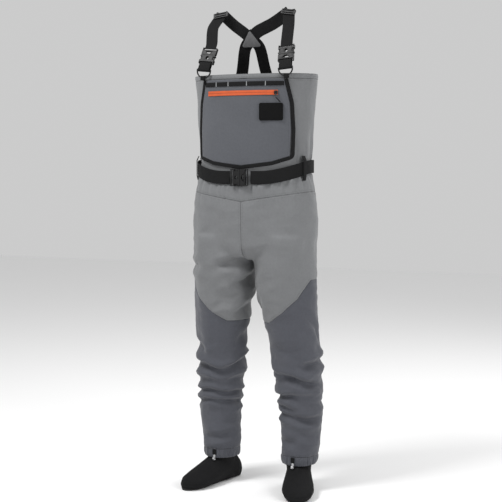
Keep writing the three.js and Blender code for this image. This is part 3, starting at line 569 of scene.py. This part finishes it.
def panel_from(name, mask, material, thickness=0.0014, sink=0.0012):
    """Copies the masked faces to their own piece, sinks its stitched edge and gives it a wall."""
    deselect()
    piece = garment.copy()
    piece.data = garment.data.copy()
    piece.name = name + "_cloth"
    bpy.context.collection.objects.link(piece)
    clear_selection(piece.data)
    piece.data.polygons.foreach_set("select", ~mask)
    bpy.context.view_layer.objects.active = piece
    bpy.ops.object.mode_set(mode="EDIT")
    bpy.ops.mesh.delete(type="FACE")
    bpy.ops.mesh.select_all(action="SELECT")
    bpy.ops.mesh.remove_doubles(threshold=0.0004)
    bpy.ops.object.mode_set(mode="OBJECT")
    mesh = piece.data
    uses = np.zeros(len(mesh.edges), int)
    loop_edges = np.empty(len(mesh.loops), int)
    mesh.loops.foreach_get("edge_index", loop_edges)
    np.add.at(uses, loop_edges, 1)
    ends = np.empty(len(mesh.edges) * 2, int)
    mesh.edges.foreach_get("vertices", ends)
    border = np.unique(ends.reshape(-1, 2)[uses == 1])
    where = points_of(mesh)
    tree = KDTree(len(border))
    for index, vertex in enumerate(border):
        tree.insert(where[vertex], index)
    tree.balance()
    reach = np.array([tree.find(point)[2] for point in where])
    where -= normals_of(mesh) * (sink * np.exp(-(reach / 0.0035) ** 2))[:, None]
    place_points(mesh, where)
    write_attribute(piece, "edge", reach)
    give_wall(piece, thickness)
    mesh.materials.clear()
    mesh.materials.append(material)
    smooth_all(piece)
    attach(piece, "waders")
    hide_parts(name)
    return piece


for name, mask in panels.items():
    dark = "lower_leg" in name or "cuff" in name
    material = cuff_cloth if "cuff" in name else dark_cloth if dark else light_cloth
    piece = panel_from(name, mask, material, 0.0024 if name == "hem_band" else 0.0014)
bpy.data.objects.remove(garment)


# Booties: two thick foam neoprene socks with a knitted face, glued and flat-stitched, each with a
# firmer moulded sole. They are sewn into the bottom of the legs under the cuffs.
def copy_of(node_name, merge=0.00003):
    """A merged copy of a node of the frame, free of its parents."""
    deselect()
    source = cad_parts[node_name]
    piece = bpy.data.objects.new(node_name + "_piece", source.data.copy())
    bpy.context.collection.objects.link(piece)
    piece.data.transform(source.matrix_world)
    piece.data.materials.clear()
    bpy.context.view_layer.objects.active = piece
    piece.select_set(True)
    bpy.ops.object.mode_set(mode="EDIT")
    bpy.ops.mesh.select_all(action="SELECT")
    bpy.ops.mesh.remove_doubles(threshold=merge)
    bpy.ops.mesh.normals_make_consistent(inside=False)
    bpy.ops.object.mode_set(mode="OBJECT")
    return piece


def stands_for(piece, material, slot_name, body, *node_names):
    piece.data.materials.clear()
    piece.data.materials.append(material)
    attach(piece, body)
    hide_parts(*node_names)


def neoprene_material():
    material, start, shader = new_material("neoprene")
    place = start.node("ShaderNodeTexCoord", output=3)
    knit = start.node("ShaderNodeTexVoronoi", inputs={"Vector": place, "Scale": 900.0})
    broad = start.node("ShaderNodeTexNoise", inputs={"Vector": place, "Scale": 14.0, "Detail": 4.0})
    fuzz = start.node("ShaderNodeTexNoise", inputs={"Vector": place, "Scale": 420.0, "Detail": 2.0})
    level = start.node("ShaderNodeSeparateXYZ", inputs={0: place}, output=2)
    thread = start.node("ShaderNodeTexWave", {"bands_direction": "DIAGONAL"},
                        {"Vector": place, "Scale": 90.0})
    joint_line = line_at(level, 0.019, 0.0016)
    shade = 0.5 * broad + 0.3 * fuzz + 0.25 * knit - 0.5 * joint_line * thread
    link(tinted(start, shade, (0.0068, 0.0068, 0.0072), 0.45, 1.8), shader, "Base Color")
    link(0.95 - 0.2 * fuzz, shader, "Roughness")
    height = 0.35 * knit + 0.3 * fuzz + 0.8 * broad - 0.7 * joint_line + 0.4 * joint_line * thread
    bump = start.node("ShaderNodeBump", inputs={"Height": height, "Strength": 0.55, "Distance": 0.0012})
    link(bump, shader, "Normal")
    shader.inputs["Specular IOR Level"].default_value = 0.14
    return material


def sole_material():
    material, start, shader = new_material("sole_rubber")
    place = start.node("ShaderNodeTexCoord", output=3)
    grain = start.node("ShaderNodeTexNoise", inputs={"Vector": place, "Scale": 300.0, "Detail": 3.0})
    long_way = start.node("ShaderNodeTexWave", {"bands_direction": "X"}, {"Vector": place, "Scale": 55.0})
    cross_way = start.node("ShaderNodeTexWave", {"bands_direction": "Y"}, {"Vector": place, "Scale": 55.0})
    tread = start.maths("MAXIMUM", long_way, cross_way)
    link(tinted(start, 0.5 * grain + 0.4 * tread, (0.0075, 0.0075, 0.0075), 0.6, 1.5), shader, "Base Color")
    link(0.75 + 0.2 * grain, shader, "Roughness")
    height = 0.25 * grain + 0.8 * tread
    bump = start.node("ShaderNodeBump", inputs={"Height": height, "Strength": 0.6, "Distance": 0.001})
    link(bump, shader, "Normal")
    return material


neoprene = neoprene_material()
sole_rubber = sole_material()
for side, sign in (("left", 1), ("right", -1)):
    bootie = copy_of(side + "_bootie")
    remesh_smoothed(bootie, 0.0021, 10)
    points = points_of(bootie.data)
    above_sole = smooth_step(points[:, 2], 0.010, 0.030)
    wrinkle = np.abs(soft_noise(points * [0.7, 0.7, 2.2], 24.0, 5.0 * sign))
    at_ankle = np.exp(-((points[:, 2] - 0.092) / 0.016) ** 2)
    dent = above_sole * (0.0010 * soft_noise(points, 16.0, sign) - 0.0036 * at_ankle * wrinkle)
    place_points(bootie.data, points + normals_of(bootie.data) * dent[:, None])
    smooth_all(bootie)
    stands_for(bootie, neoprene, "neoprene", "waders", side + "_bootie")
    sole = copy_of(side + "_bootie_sole")
    remesh_smoothed(sole, 0.0014, 3)
    smooth_all(sole)
    stands_for(sole, sole_rubber, "soft_rubber", "waders", side + "_bootie_sole")


# Webbing: woven polypropylene straps, 38 mm braces and a 40 mm belt, with a ribbed face, rounded
# selvedges and a sewn edge line. Every strap is swept along the run of its strap in the frame.
def webbing_material(name, colour, pitch=0.0021):
    material, start, shader = new_material(name)
    place = start.node("ShaderNodeTexCoord", output=3)
    along = attribute(start, "along")
    across = attribute(start, "across")
    edge = attribute(start, "edge")
    turn = 2 * math.pi / pitch
    column = start.maths("SINE", across * turn)
    zig = start.maths("SINE", along * (turn * 0.8) + 1.6 * start.maths("SIGN", column))
    rib = start.maths("ABSOLUTE", column)
    dust = start.node("ShaderNodeTexNoise", inputs={"Vector": place, "Scale": 55.0, "Detail": 5.0})
    fibre = start.node("ShaderNodeTexNoise", inputs={"Vector": place, "Scale": 700.0, "Detail": 2.0})
    thread = start.maths("SINE", along * (2 * math.pi / 0.0030))
    sewn = line_at(edge, 0.0026, 0.0007)
    shade = 0.30 * dust + 0.25 * fibre + 0.22 * rib + 0.12 * zig + 0.25 * sewn * thread + 0.05
    link(tinted(start, shade, colour, 0.45, 2.0), shader, "Base Color")
    link(0.66 + 0.2 * fibre, shader, "Roughness")
    height = 0.5 * rib + 0.25 * zig + 0.2 * fibre - 0.6 * sewn
    bump = start.node("ShaderNodeBump", inputs={"Height": height, "Strength": 0.6, "Distance": 0.0007})
    link(bump, shader, "Normal")
    shader.inputs["Specular IOR Level"].default_value = 0.14
    return material


black_webbing = webbing_material("black_webbing", (0.0062, 0.0062, 0.0065))


def write_weave(piece, along, across, edge):
    for name, values in (("along", along), ("across", across), ("edge", edge)):
        write_attribute(piece, name, values)


def smooth_through(run, values, at):
    """A smooth line through the values, with the slope at each from its neighbours."""
    slopes = np.gradient(values, run)
    index = np.clip(np.searchsorted(run, at, side="right") - 1, 0, len(run) - 2)
    gap = run[index + 1] - run[index]
    share = (at - run[index]) / gap
    two, three = share ** 2, share ** 3
    return ((2 * three - 3 * two + 1) * values[index] + (three - 2 * two + share) * gap * slopes[index]
            + (3 * two - 2 * three) * values[index + 1] + (three - two) * gap * slopes[index + 1])


def sweep(name, path, across_way, width, thickness, step=0.0022, around=36, squareness=6.0):
    """A ribbon with rounded edges along path. across_way points over its width at each place."""
    path = np.asarray(path, float)
    across_way = np.asarray(across_way, float)
    run = np.concatenate([[0], np.cumsum(np.linalg.norm(np.diff(path, axis=0), axis=1))])
    rows = max(3, int(run[-1] / step))
    at = np.linspace(0, run[-1], rows + 1)
    middle = np.column_stack([smooth_through(run, path[:, axis], at) for axis in range(3)])
    over = np.column_stack([np.interp(at, run, across_way[:, axis]) for axis in range(3)])
    tangent = np.gradient(middle, axis=0)
    tangent /= np.linalg.norm(tangent, axis=1)[:, None]
    over -= tangent * np.sum(over * tangent, axis=1)[:, None]
    over /= np.linalg.norm(over, axis=1)[:, None]
    facing = np.cross(tangent, over)
    piece = drum(rows, around)
    piece.name = name
    points = points_of(piece.data)
    row = np.clip(np.rint(points[:, 2]).astype(int), 0, rows)
    angle = np.arctan2(points[:, 1], points[:, 0])
    cos, sin = np.cos(angle), np.sin(angle)
    wide = width / 2 * np.sign(cos) * np.abs(cos) ** 0.55
    share = np.abs(wide) / (width / 2)
    high = thickness / 2 * np.sign(sin) * np.clip(1 - share ** (2 * squareness), 0, 1) ** 0.5
    placed = middle[row] + over[row] * wide[:, None] + facing[row] * high[:, None]
    place_points(piece.data, placed)
    ends = np.minimum(at[row], run[-1] - at[row]) + 0.001
    write_weave(piece, at[row], wide, np.minimum(width / 2 - np.abs(wide), ends))
    deselect()
    bpy.context.view_layer.objects.active = piece
    piece.select_set(True)
    bpy.ops.object.mode_set(mode="EDIT")
    bpy.ops.mesh.select_all(action="SELECT")
    bpy.ops.mesh.normals_make_consistent(inside=False)
    bpy.ops.object.mode_set(mode="OBJECT")
    bpy.ops.object.shade_smooth_by_angle(angle=math.radians(50))
    return piece


def run_of(node_name, width):
    """The middle line of a ribbon of the frame and the way over its width, end to end."""
    ribbon = copy_of(node_name)
    bpy.ops.object.mode_set(mode="EDIT")
    bpy.ops.mesh.quads_convert_to_tris()
    bpy.ops.object.mode_set(mode="OBJECT")
    mesh = ribbon.data
    points = points_of(mesh)
    near = [set() for vertex in points]
    for edge in mesh.edges:
        first, second = edge.vertices
        near[first].add(second)
        near[second].add(first)
    caps = set()
    for face in mesh.polygons:
        corners = list(face.vertices)
        sides = [np.linalg.norm(points[corners[i]] - points[corners[i - 1]]) for i in range(3)]
        if min(sides) < 0.003 and max(sides) > width * 0.9:
            caps.update(corners)
    first_end = min(caps)
    layer = {vertex for vertex in caps if np.linalg.norm(points[vertex] - points[first_end]) < width * 1.1}
    seen = set()
    middles, ways = [], []
    while layer:
        ring = np.array([points[vertex] for vertex in sorted(layer)])
        middle = ring.mean(axis=0)
        way = np.linalg.svd(ring - middle)[2][0]
        if ways and np.dot(way, ways[-1]) < 0:
            way = -way
        middles.append(middle)
        ways.append(way)
        seen |= layer
        layer = {other for vertex in layer for other in near[vertex]} - seen
    bpy.data.objects.remove(ribbon)
    return np.array(middles), np.array(ways)


for name, width, thick in (
    ("left_front_strap", 0.038, 0.0018), ("right_front_strap", 0.038, 0.0018),
    ("left_back_strap", 0.038, 0.0018), ("right_back_strap", 0.038, 0.0018), ("belt", 0.040, 0.0021),
):
    middles, ways = run_of(name, width)
    strap = sweep(name + "_webbing", middles, ways, width, thick)
    stands_for(strap, black_webbing, "black_webbing", "waders", name)


# Short webbing: the loops round the strap rings, the ring tabs, the belt loops and the hook tabs.
# They are short lengths of the same black webbing and tape, folded over and sewn down.
def round_edges(piece, width, segments, angle):
    """Rounds the active piece's edges that are sharper than angle, and shades it smooth."""
    bevel = piece.modifiers.new("edges", "BEVEL")
    bevel.width = width
    bevel.segments = segments
    bevel.limit_method = "ANGLE"
    bevel.angle_limit = math.radians(angle)
    apply_modifiers(piece)
    bpy.ops.object.shade_smooth_by_angle(angle=math.radians(angle))


def sewn_webbing(name, across_axis, edge_size=0.0005):
    piece = copy_of(name)
    round_edges(piece, edge_size, 2, 40)
    points = points_of(piece.data)
    across = points @ np.array(across_axis, float)
    middle = (across.max() + across.min()) / 2
    half = (across.max() - across.min()) / 2
    write_weave(piece, points[:, 2], across - middle, half - np.abs(across - middle))
    stands_for(piece, black_webbing, "black_webbing", "waders", name)


for side in ("left", "right"):
    sewn_webbing(side + "_lower_webbing", (1, 0, 0))
    sewn_webbing(side + "_ring_tab", (1, 0, 0), 0.0003)
    sewn_webbing(side + "_hook_tab", (1, 0, 0), 0.0003)
    sewn_webbing(side + "_belt_loop", (0.3 if side == "left" else -0.3, 0.95, 0), 0.0003)
sewn_webbing("rear_belt_loop", (1, 0, 0), 0.0003)


# Moulded acetal: three side-release buckles with sprung latch arms, strap rings, two-bar adjusters
# and the cross plate's backing. Edges are rounded as a mould leaves them.
def plastic_material(name, colour, roughness):
    material, start, shader = new_material(name)
    place = start.node("ShaderNodeTexCoord", output=3)
    grain = start.node("ShaderNodeTexNoise", inputs={"Vector": place, "Scale": 1500.0, "Detail": 2.0})
    scuff = start.node("ShaderNodeTexNoise", inputs={"Vector": place, "Scale": 90.0, "Detail": 6.0})
    link(tinted(start, 0.55 * scuff + 0.3 * grain, colour, 0.6, 1.6), shader, "Base Color")
    link(roughness + 0.22 * scuff - 0.08 * grain, shader, "Roughness")
    height = 0.5 * grain + 0.35 * scuff
    bump = start.node("ShaderNodeBump", inputs={"Height": height, "Strength": 0.25, "Distance": 0.0003})
    link(bump, shader, "Normal")
    shader.inputs["Specular IOR Level"].default_value = 0.28
    return material


black_plastic = plastic_material("black_plastic", (0.0070, 0.0070, 0.0074), 0.46)
grey_plastic = plastic_material("grey_plate", (0.115, 0.115, 0.118), 0.42)


def moulded(name, body, rounding, material=None, slot_name="black_plastic", segments=3):
    """A merged copy of a node with its flat faces made whole and its edges rounded."""
    piece = copy_of(name)
    bpy.ops.object.mode_set(mode="EDIT")
    bpy.ops.mesh.select_all(action="SELECT")
    bpy.ops.mesh.dissolve_limited(angle_limit=math.radians(1))
    bpy.ops.object.mode_set(mode="OBJECT")
    round_edges(piece, rounding, segments, 38)
    stands_for(piece, material or black_plastic, slot_name, body, name)


for name in ("left_buckle", "right_buckle", "belt_buckle"):
    moulded(name + "_female", "waders", 0.0007)
    moulded(name + "_male", "waders", 0.0006)
    moulded(name + "_arm_a", name + "_arm_a", 0.0007)
    moulded(name + "_arm_b", name + "_arm_b", 0.0007)
for side in ("left", "right"):
    moulded(side + "_d_ring", "waders", 0.0012)
    moulded(side + "_strap_adjuster", "waders", 0.0009)
moulded("cross_backing", "waders", 0.0009)
moulded("cross_plate", "waders", 0.0010, grey_plastic, "grey_plate")


# Lace hooks: bent and tumbled stainless sheet, one at each ankle on a webbing tab.
# Each swings on the end of its tab, and catches the lace of a boot to hold the leg down.
def steel_material(name, colour, roughness):
    material, start, shader = new_material(name)
    place = start.node("ShaderNodeTexCoord", output=3)
    brushed = start.node("ShaderNodeTexNoise", inputs={"Vector": place, "Scale": 260.0, "Detail": 5.0})
    link(tinted(start, brushed, colour, 0.8, 1.1), shader, "Base Color")
    link(roughness + 0.2 * brushed, shader, "Roughness")
    bump = start.node("ShaderNodeBump", inputs={"Height": brushed, "Strength": 0.2, "Distance": 0.0002})
    link(bump, shader, "Normal")
    shader.inputs["Metallic"].default_value = 1.0
    return material


steel = steel_material("steel", (0.56, 0.56, 0.57), 0.22)
dark_steel = steel_material("blackened_steel", (0.10, 0.10, 0.105), 0.28)
for side in ("left", "right"):
    moulded(side + "_lace_hook", side + "_hook", 0.00035, steel, "steel")


# Chest pocket: a panel of dark blue-grey laminate laid over the bib, bound at the sides and foot
# with webbing. Its top runs under the daisy chain, and a zip opens it near the top.
def bib_front(x, height, lift):
    """How far forward the bib's face lies at each x and height, lifted off it by lift."""
    middle_y, half_width, half_depth = section(torso_sections, height)[1:]
    share = np.clip(np.abs(x) / (half_width + lift), 0, 1)
    bulge = (1 - share ** torso_squareness) ** (1 / torso_squareness)
    return middle_y + shift - (half_depth + lift) * bulge


def bib_facing(x, height):
    """The way out of the bib's face at each x and height."""
    slope_x = (bib_front(x + 0.001, height, 0) - bib_front(x - 0.001, height, 0)) / 0.002
    slope_z = (bib_front(x, height + 0.001, 0) - bib_front(x, height - 0.001, 0)) / 0.002
    facing = np.column_stack([slope_x, -np.ones(len(slope_x)), slope_z])
    return facing / np.linalg.norm(facing, axis=1)[:, None]


def face_along_y(piece, way):
    """Turns the active panel's faces where they look the wrong way along Y."""
    if np.mean(normals_of(piece.data)[:, 1]) * way < 0:
        bpy.ops.object.mode_set(mode="EDIT")
        bpy.ops.mesh.select_all(action="SELECT")
        bpy.ops.mesh.flip_normals()
        bpy.ops.object.mode_set(mode="OBJECT")


zip_height = 1.231
pocket_top = 1.272
pocket_trim = 0.011
pocket_sides = np.array([[0.0, 0.138], [0.072, 0.154], [0.152, 0.158], [0.237, 0.155]])
pocket_foot = np.array([[0.0, 0.269], [0.095, 0.257], [0.155, 0.237]])
deselect()
bpy.ops.mesh.primitive_grid_add(x_subdivisions=110, y_subdivisions=96, size=2, location=(0, 0, 0))
pocket = bpy.context.object
pocket.name = "chest_pocket_panel"
points = points_of(pocket.data)
share_x, share_z = points[:, 0], (1 - points[:, 1]) / 2
foot_width = 0.155 - pocket_trim
foot_drop = np.interp(np.abs(share_x) * foot_width, pocket_foot[:, 0], pocket_foot[:, 1]) - pocket_trim
drop = share_z * foot_drop
side_width = np.interp(drop, pocket_sides[:, 0], pocket_sides[:, 1]) - pocket_trim - 0.0003
x = share_x * side_width
z = pocket_top - drop
from_edge = np.minimum((1 - np.abs(share_x)) * side_width, foot_drop - drop)
billow = soft_noise(np.column_stack([x, x * 0, z]), 14.0, 3.3)
pull_fold = np.exp(-((x + 0.085 + 0.10 * (z - 1.15)) / 0.010) ** 2) * smooth_step(1.26 - z, 0.0, 0.05)
inside = smooth_step(from_edge, 0.0, 0.030)
zip_flat = 1 - np.exp(-((z - zip_height) / 0.016) ** 2)
lift = 0.0043 + inside * zip_flat * (0.0012 * billow - 0.0010 * pull_fold)
y = bib_front(x, z, lift)
place_points(pocket.data, np.column_stack([x, y, z]))
face_along_y(pocket, -1)
write_attribute(pocket, "edge", from_edge + 0.0005)
give_wall(pocket, 0.0034)
smooth_all(pocket)
pocket_cloth = cloth("pocket_cloth", (0.073, 0.077, 0.088), 0.76)
stands_for(pocket, pocket_cloth, "pocket_cloth", "waders", "chest_pocket")


def bib_strip(name, corners, width, low, high, material, slot_name, *node_names):
    """A strip sewn on the bib along corners of x and height, from low to high off the bib."""
    corners = np.array(corners, float)
    run = np.concatenate([[0], np.cumsum(np.linalg.norm(np.diff(corners, axis=0), axis=1))])
    at = np.arange(0, run[-1], 0.004)
    at = np.append(at[:-1], run[-1])
    x = np.interp(at, run, corners[:, 0])
    z = np.interp(at, run, corners[:, 1])
    soften = np.ones(5) / 5
    if len(corners) > 2:
        x[2:-2] = np.convolve(x, soften, "valid")
        z[2:-2] = np.convolve(z, soften, "valid")
    path = np.column_stack([x, bib_front(x, z, (low + high) / 2), z])
    facing = bib_facing(x, z)
    tangent = np.gradient(path, axis=0)
    strip = sweep(name, path, np.cross(facing, tangent), width, high - low)
    if node_names:
        stands_for(strip, material, slot_name, "waders", *node_names)
    return strip


half_trim = pocket_trim / 2
side_line = [(width - half_trim, pocket_top - drop) for drop, width in pocket_sides]
foot_line = [(0.1505, pocket_top - 0.2385 + half_trim), (0.118, pocket_top - 0.2493 + half_trim)]
for side, sign in (("left", 1), ("right", -1)):
    corners = [(sign * x, z) for x, z in side_line[:-1] + foot_line]
    bib_strip(side + "_binding", corners, pocket_trim, 0.0006, 0.0050, black_webbing, "black_webbing",
              "pocket_trim_" + side)
low_line = [(-0.1172, 0.2496), (-0.095, 0.257), (0, 0.269), (0.095, 0.257), (0.1172, 0.2496)]
bib_strip("bottom_binding", [(x, pocket_top - drop + half_trim) for x, drop in low_line], pocket_trim,
          0.0006, 0.0050, black_webbing, "black_webbing", "pocket_trim_bottom")


# Daisy chain: 13 mm webbing across the pocket's head, bar-tacked down in grey thread. Between
# the tacks it stands a little off the pocket, as loops for clips, and the bindings hold its ends.
tack_places = (-0.124, -0.088, -0.046, 0.015, 0.074, 0.124)
chain_height = 1.258
x = np.arange(-0.128, 0.1281, 0.002)
free = np.min([np.abs(x - place) for place in tack_places], axis=0)
rise = 0.0056 + 0.0011 * smooth_step(free, 0.001, 0.012)
z = np.full(len(x), chain_height)
path = np.column_stack([x, bib_front(x, z, rise), z])
chain = sweep("daisy_chain_webbing", path, np.tile([0, 0, 1.0], (len(x), 1)), 0.013, 0.0014, step=0.0015)
stands_for(chain, black_webbing, "black_webbing", "waders", "daisy_chain")
tack_thread = webbing_material("tack_thread", (0.20, 0.205, 0.21), 0.0009)
tacks = []
for place in tack_places[1:-1]:
    heights = np.linspace(chain_height - 0.0068, chain_height + 0.0068, 6)
    across = np.full(len(heights), place)
    line = np.column_stack([across, bib_front(across, heights, 0.0063), heights])
    tacks.append(sweep("daisy_tack", line, np.tile([1.0, 0, 0], (len(heights), 1)), 0.0030, 0.0008,
                       step=0.001))
joined(tacks)
tacks[0].name = "daisy_chain_tacks"
tacks[0].data.materials.append(tack_thread)
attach(tacks[0], "waders")


# Zip: two lips of orange coated tape that meet over a coil, with a black slider at the wearer's
# left end. The slider carries a bail, a small metal tab and a rubber-covered puller.
def orange_material():
    material, start, shader = new_material("orange_tape")
    place = start.node("ShaderNodeTexCoord", output=3)
    along = attribute(start, "along")
    edge = attribute(start, "edge")
    grain = start.node("ShaderNodeTexNoise", inputs={"Vector": place, "Scale": 420.0, "Detail": 3.0})
    broad = start.node("ShaderNodeTexNoise", inputs={"Vector": place, "Scale": 45.0, "Detail": 3.0})
    cord = start.maths("SINE", along * (2 * math.pi / 0.0016))
    # Painted shade: the tape's colour is darkened within 1.4 mm of every edge of the lips and the coil. It
    # stands in for the shade in the groove where the lips meet and along their outer edges.
    painted_groove_shade = line_at(edge, 0.0, 0.0014)
    shade = 0.45 * broad + 0.3 * grain + 0.08 * cord - 0.5 * painted_groove_shade + 0.2
    link(tinted(start, shade, (0.58, 0.088, 0.014), 0.5, 1.12), shader, "Base Color")
    link(0.42 + 0.25 * grain, shader, "Roughness")
    height = 0.5 * grain + 0.35 * cord + 0.3 * broad
    bump = start.node("ShaderNodeBump", inputs={"Height": height, "Strength": 0.35, "Distance": 0.0005})
    link(bump, shader, "Normal")
    return material


orange_tape = orange_material()
zip_ends = (-0.118, 0.1105)
lips = []
for offset in (-0.00385, 0.00385):
    level = zip_height + offset
    lips.append(bib_strip("zip_lip", [(zip_ends[0], level), (zip_ends[1], level)], 0.0073, 0.0046, 0.0062,
                          orange_tape, "orange_zip"))
coil = bib_strip("zip_coil", [(zip_ends[0], zip_height), (zip_ends[1], zip_height)], 0.0022, 0.0046, 0.0056,
                 orange_tape, "orange_zip")
joined(lips + [coil])
lips[0].name = "zip_tape_lips"
stands_for(lips[0], orange_tape, "orange_zip", "waders", "zip_tape")

moulded("zip_slider", "zip_slider", 0.0008)
slider_x = 0.105
zip_radius = 0.4114
slider_turn = math.asin(slider_x / zip_radius)
slider_out = np.array([math.sin(slider_turn), -math.cos(slider_turn), 0])
slider_over = np.array([math.cos(slider_turn), math.sin(slider_turn), 0])
slider_y = bib_front(np.array([slider_x]), np.array([zip_height]), 0.0094)[0]
slider_face = np.array([slider_x, slider_y, zip_height - 0.003])
cheeks = []
for sign in (-1, 1):
    foot = slider_face + sign * 0.0034 * slider_over
    line = np.array([foot - 0.0010 * slider_out, foot + 0.0010 * slider_out, foot + 0.0030 * slider_out])
    cheeks.append(sweep("slider_cheek", line, np.tile([0, 0, 1.0], (3, 1)), 0.0046, 0.0010, step=0.0008))
joined(cheeks)
cheeks[0].name = "zip_slider_cheeks"
cheeks[0].data.materials.append(black_plastic)
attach(cheeks[0], "zip_slider")
moulded("zip_pull_tab", "zip_pull", 0.0004, dark_steel, "steel")
puller = copy_of("zip_puller")
round_edges(puller, 0.0004, 2, 50)
points = points_of(puller.data)
write_weave(puller, points[:, 2], points[:, 0], np.full(len(points), 0.02))
stands_for(puller, black_webbing, "black_webbing", "zip_pull", "zip_puller")


# Fly patch: a block of black loop pile on a stiff backing, at the wearer's left on the pocket.
# It is sewn down round its edge.
def pile_material():
    material, start, shader = new_material("loop_pile")
    place = start.node("ShaderNodeTexCoord", output=3)
    loops = start.node("ShaderNodeTexVoronoi", inputs={"Vector": place, "Scale": 650.0})
    tufts = start.node("ShaderNodeTexNoise", inputs={"Vector": place, "Scale": 150.0, "Detail": 5.0})
    parts = [start.node("ShaderNodeSeparateXYZ", inputs={0: place}, output=output) for output in (0, 2)]
    over = start.maths("ABSOLUTE", parts[0] - patch_middle[0]) - (patch_size[0] / 2 - 0.0035)
    up = start.maths("ABSOLUTE", parts[1] - patch_middle[1]) - (patch_size[1] / 2 - 0.0035)
    sewn = line_at(start.maths("MAXIMUM", over, up), 0.0, 0.0008)
    shade = 0.5 * tufts + 0.35 * loops - 0.3 * sewn
    link(tinted(start, shade, (0.0038, 0.0038, 0.0040), 0.4, 2.1), shader, "Base Color")
    link(0.9 + 0.1 * tufts, shader, "Roughness")
    height = 0.9 * loops + 0.6 * tufts - 0.9 * sewn
    bump = start.node("ShaderNodeBump", inputs={"Height": height, "Strength": 0.8, "Distance": 0.0009})
    link(bump, shader, "Normal")
    shader.inputs["Specular IOR Level"].default_value = 0.14
    return material


patch_middle = (0.092, 1.174)
patch_size = (0.070, 0.052)
moulded("hook_loop_patch", "waders", 0.0011, pile_material(), "black_webbing", 4)


# Anchor patches: doubled panels of the dark laminate on the back, under the ends of the braces.
# They are stitched round their edges, and spread the pull of the braces.
anchor_half = np.array([0.030, 0.031])
anchor_middle = -0.045
anchor_spread = 0.052
anchor_height = 1.189
anchor_lift = 0.0019
for side, sign in (("left", 1), ("right", -1)):
    deselect()
    bpy.ops.mesh.primitive_grid_add(x_subdivisions=40, y_subdivisions=40, size=2, location=(0, 0, 0))
    anchor = bpy.context.object
    anchor.name = side + "_anchor_panel"
    points = points_of(anchor.data)
    from_edge = np.min(anchor_half * (1 - np.abs(points[:, :2])), axis=1)
    x = anchor_middle + sign * anchor_spread + points[:, 0] * anchor_half[0]
    z = anchor_height + points[:, 1] * anchor_half[1]
    middle_y = section(torso_sections, z)[1]
    y = 2 * (middle_y + shift) - bib_front(x, z, anchor_lift)
    place_points(anchor.data, np.column_stack([x, y, z]))
    face_along_y(anchor, 1)
    write_attribute(anchor, "edge", from_edge + 0.0004)
    give_wall(anchor, 0.0014)
    smooth_all(anchor)
    stands_for(anchor, dark_cloth, "dark_cloth", "waders", side + "_anchor_patch")
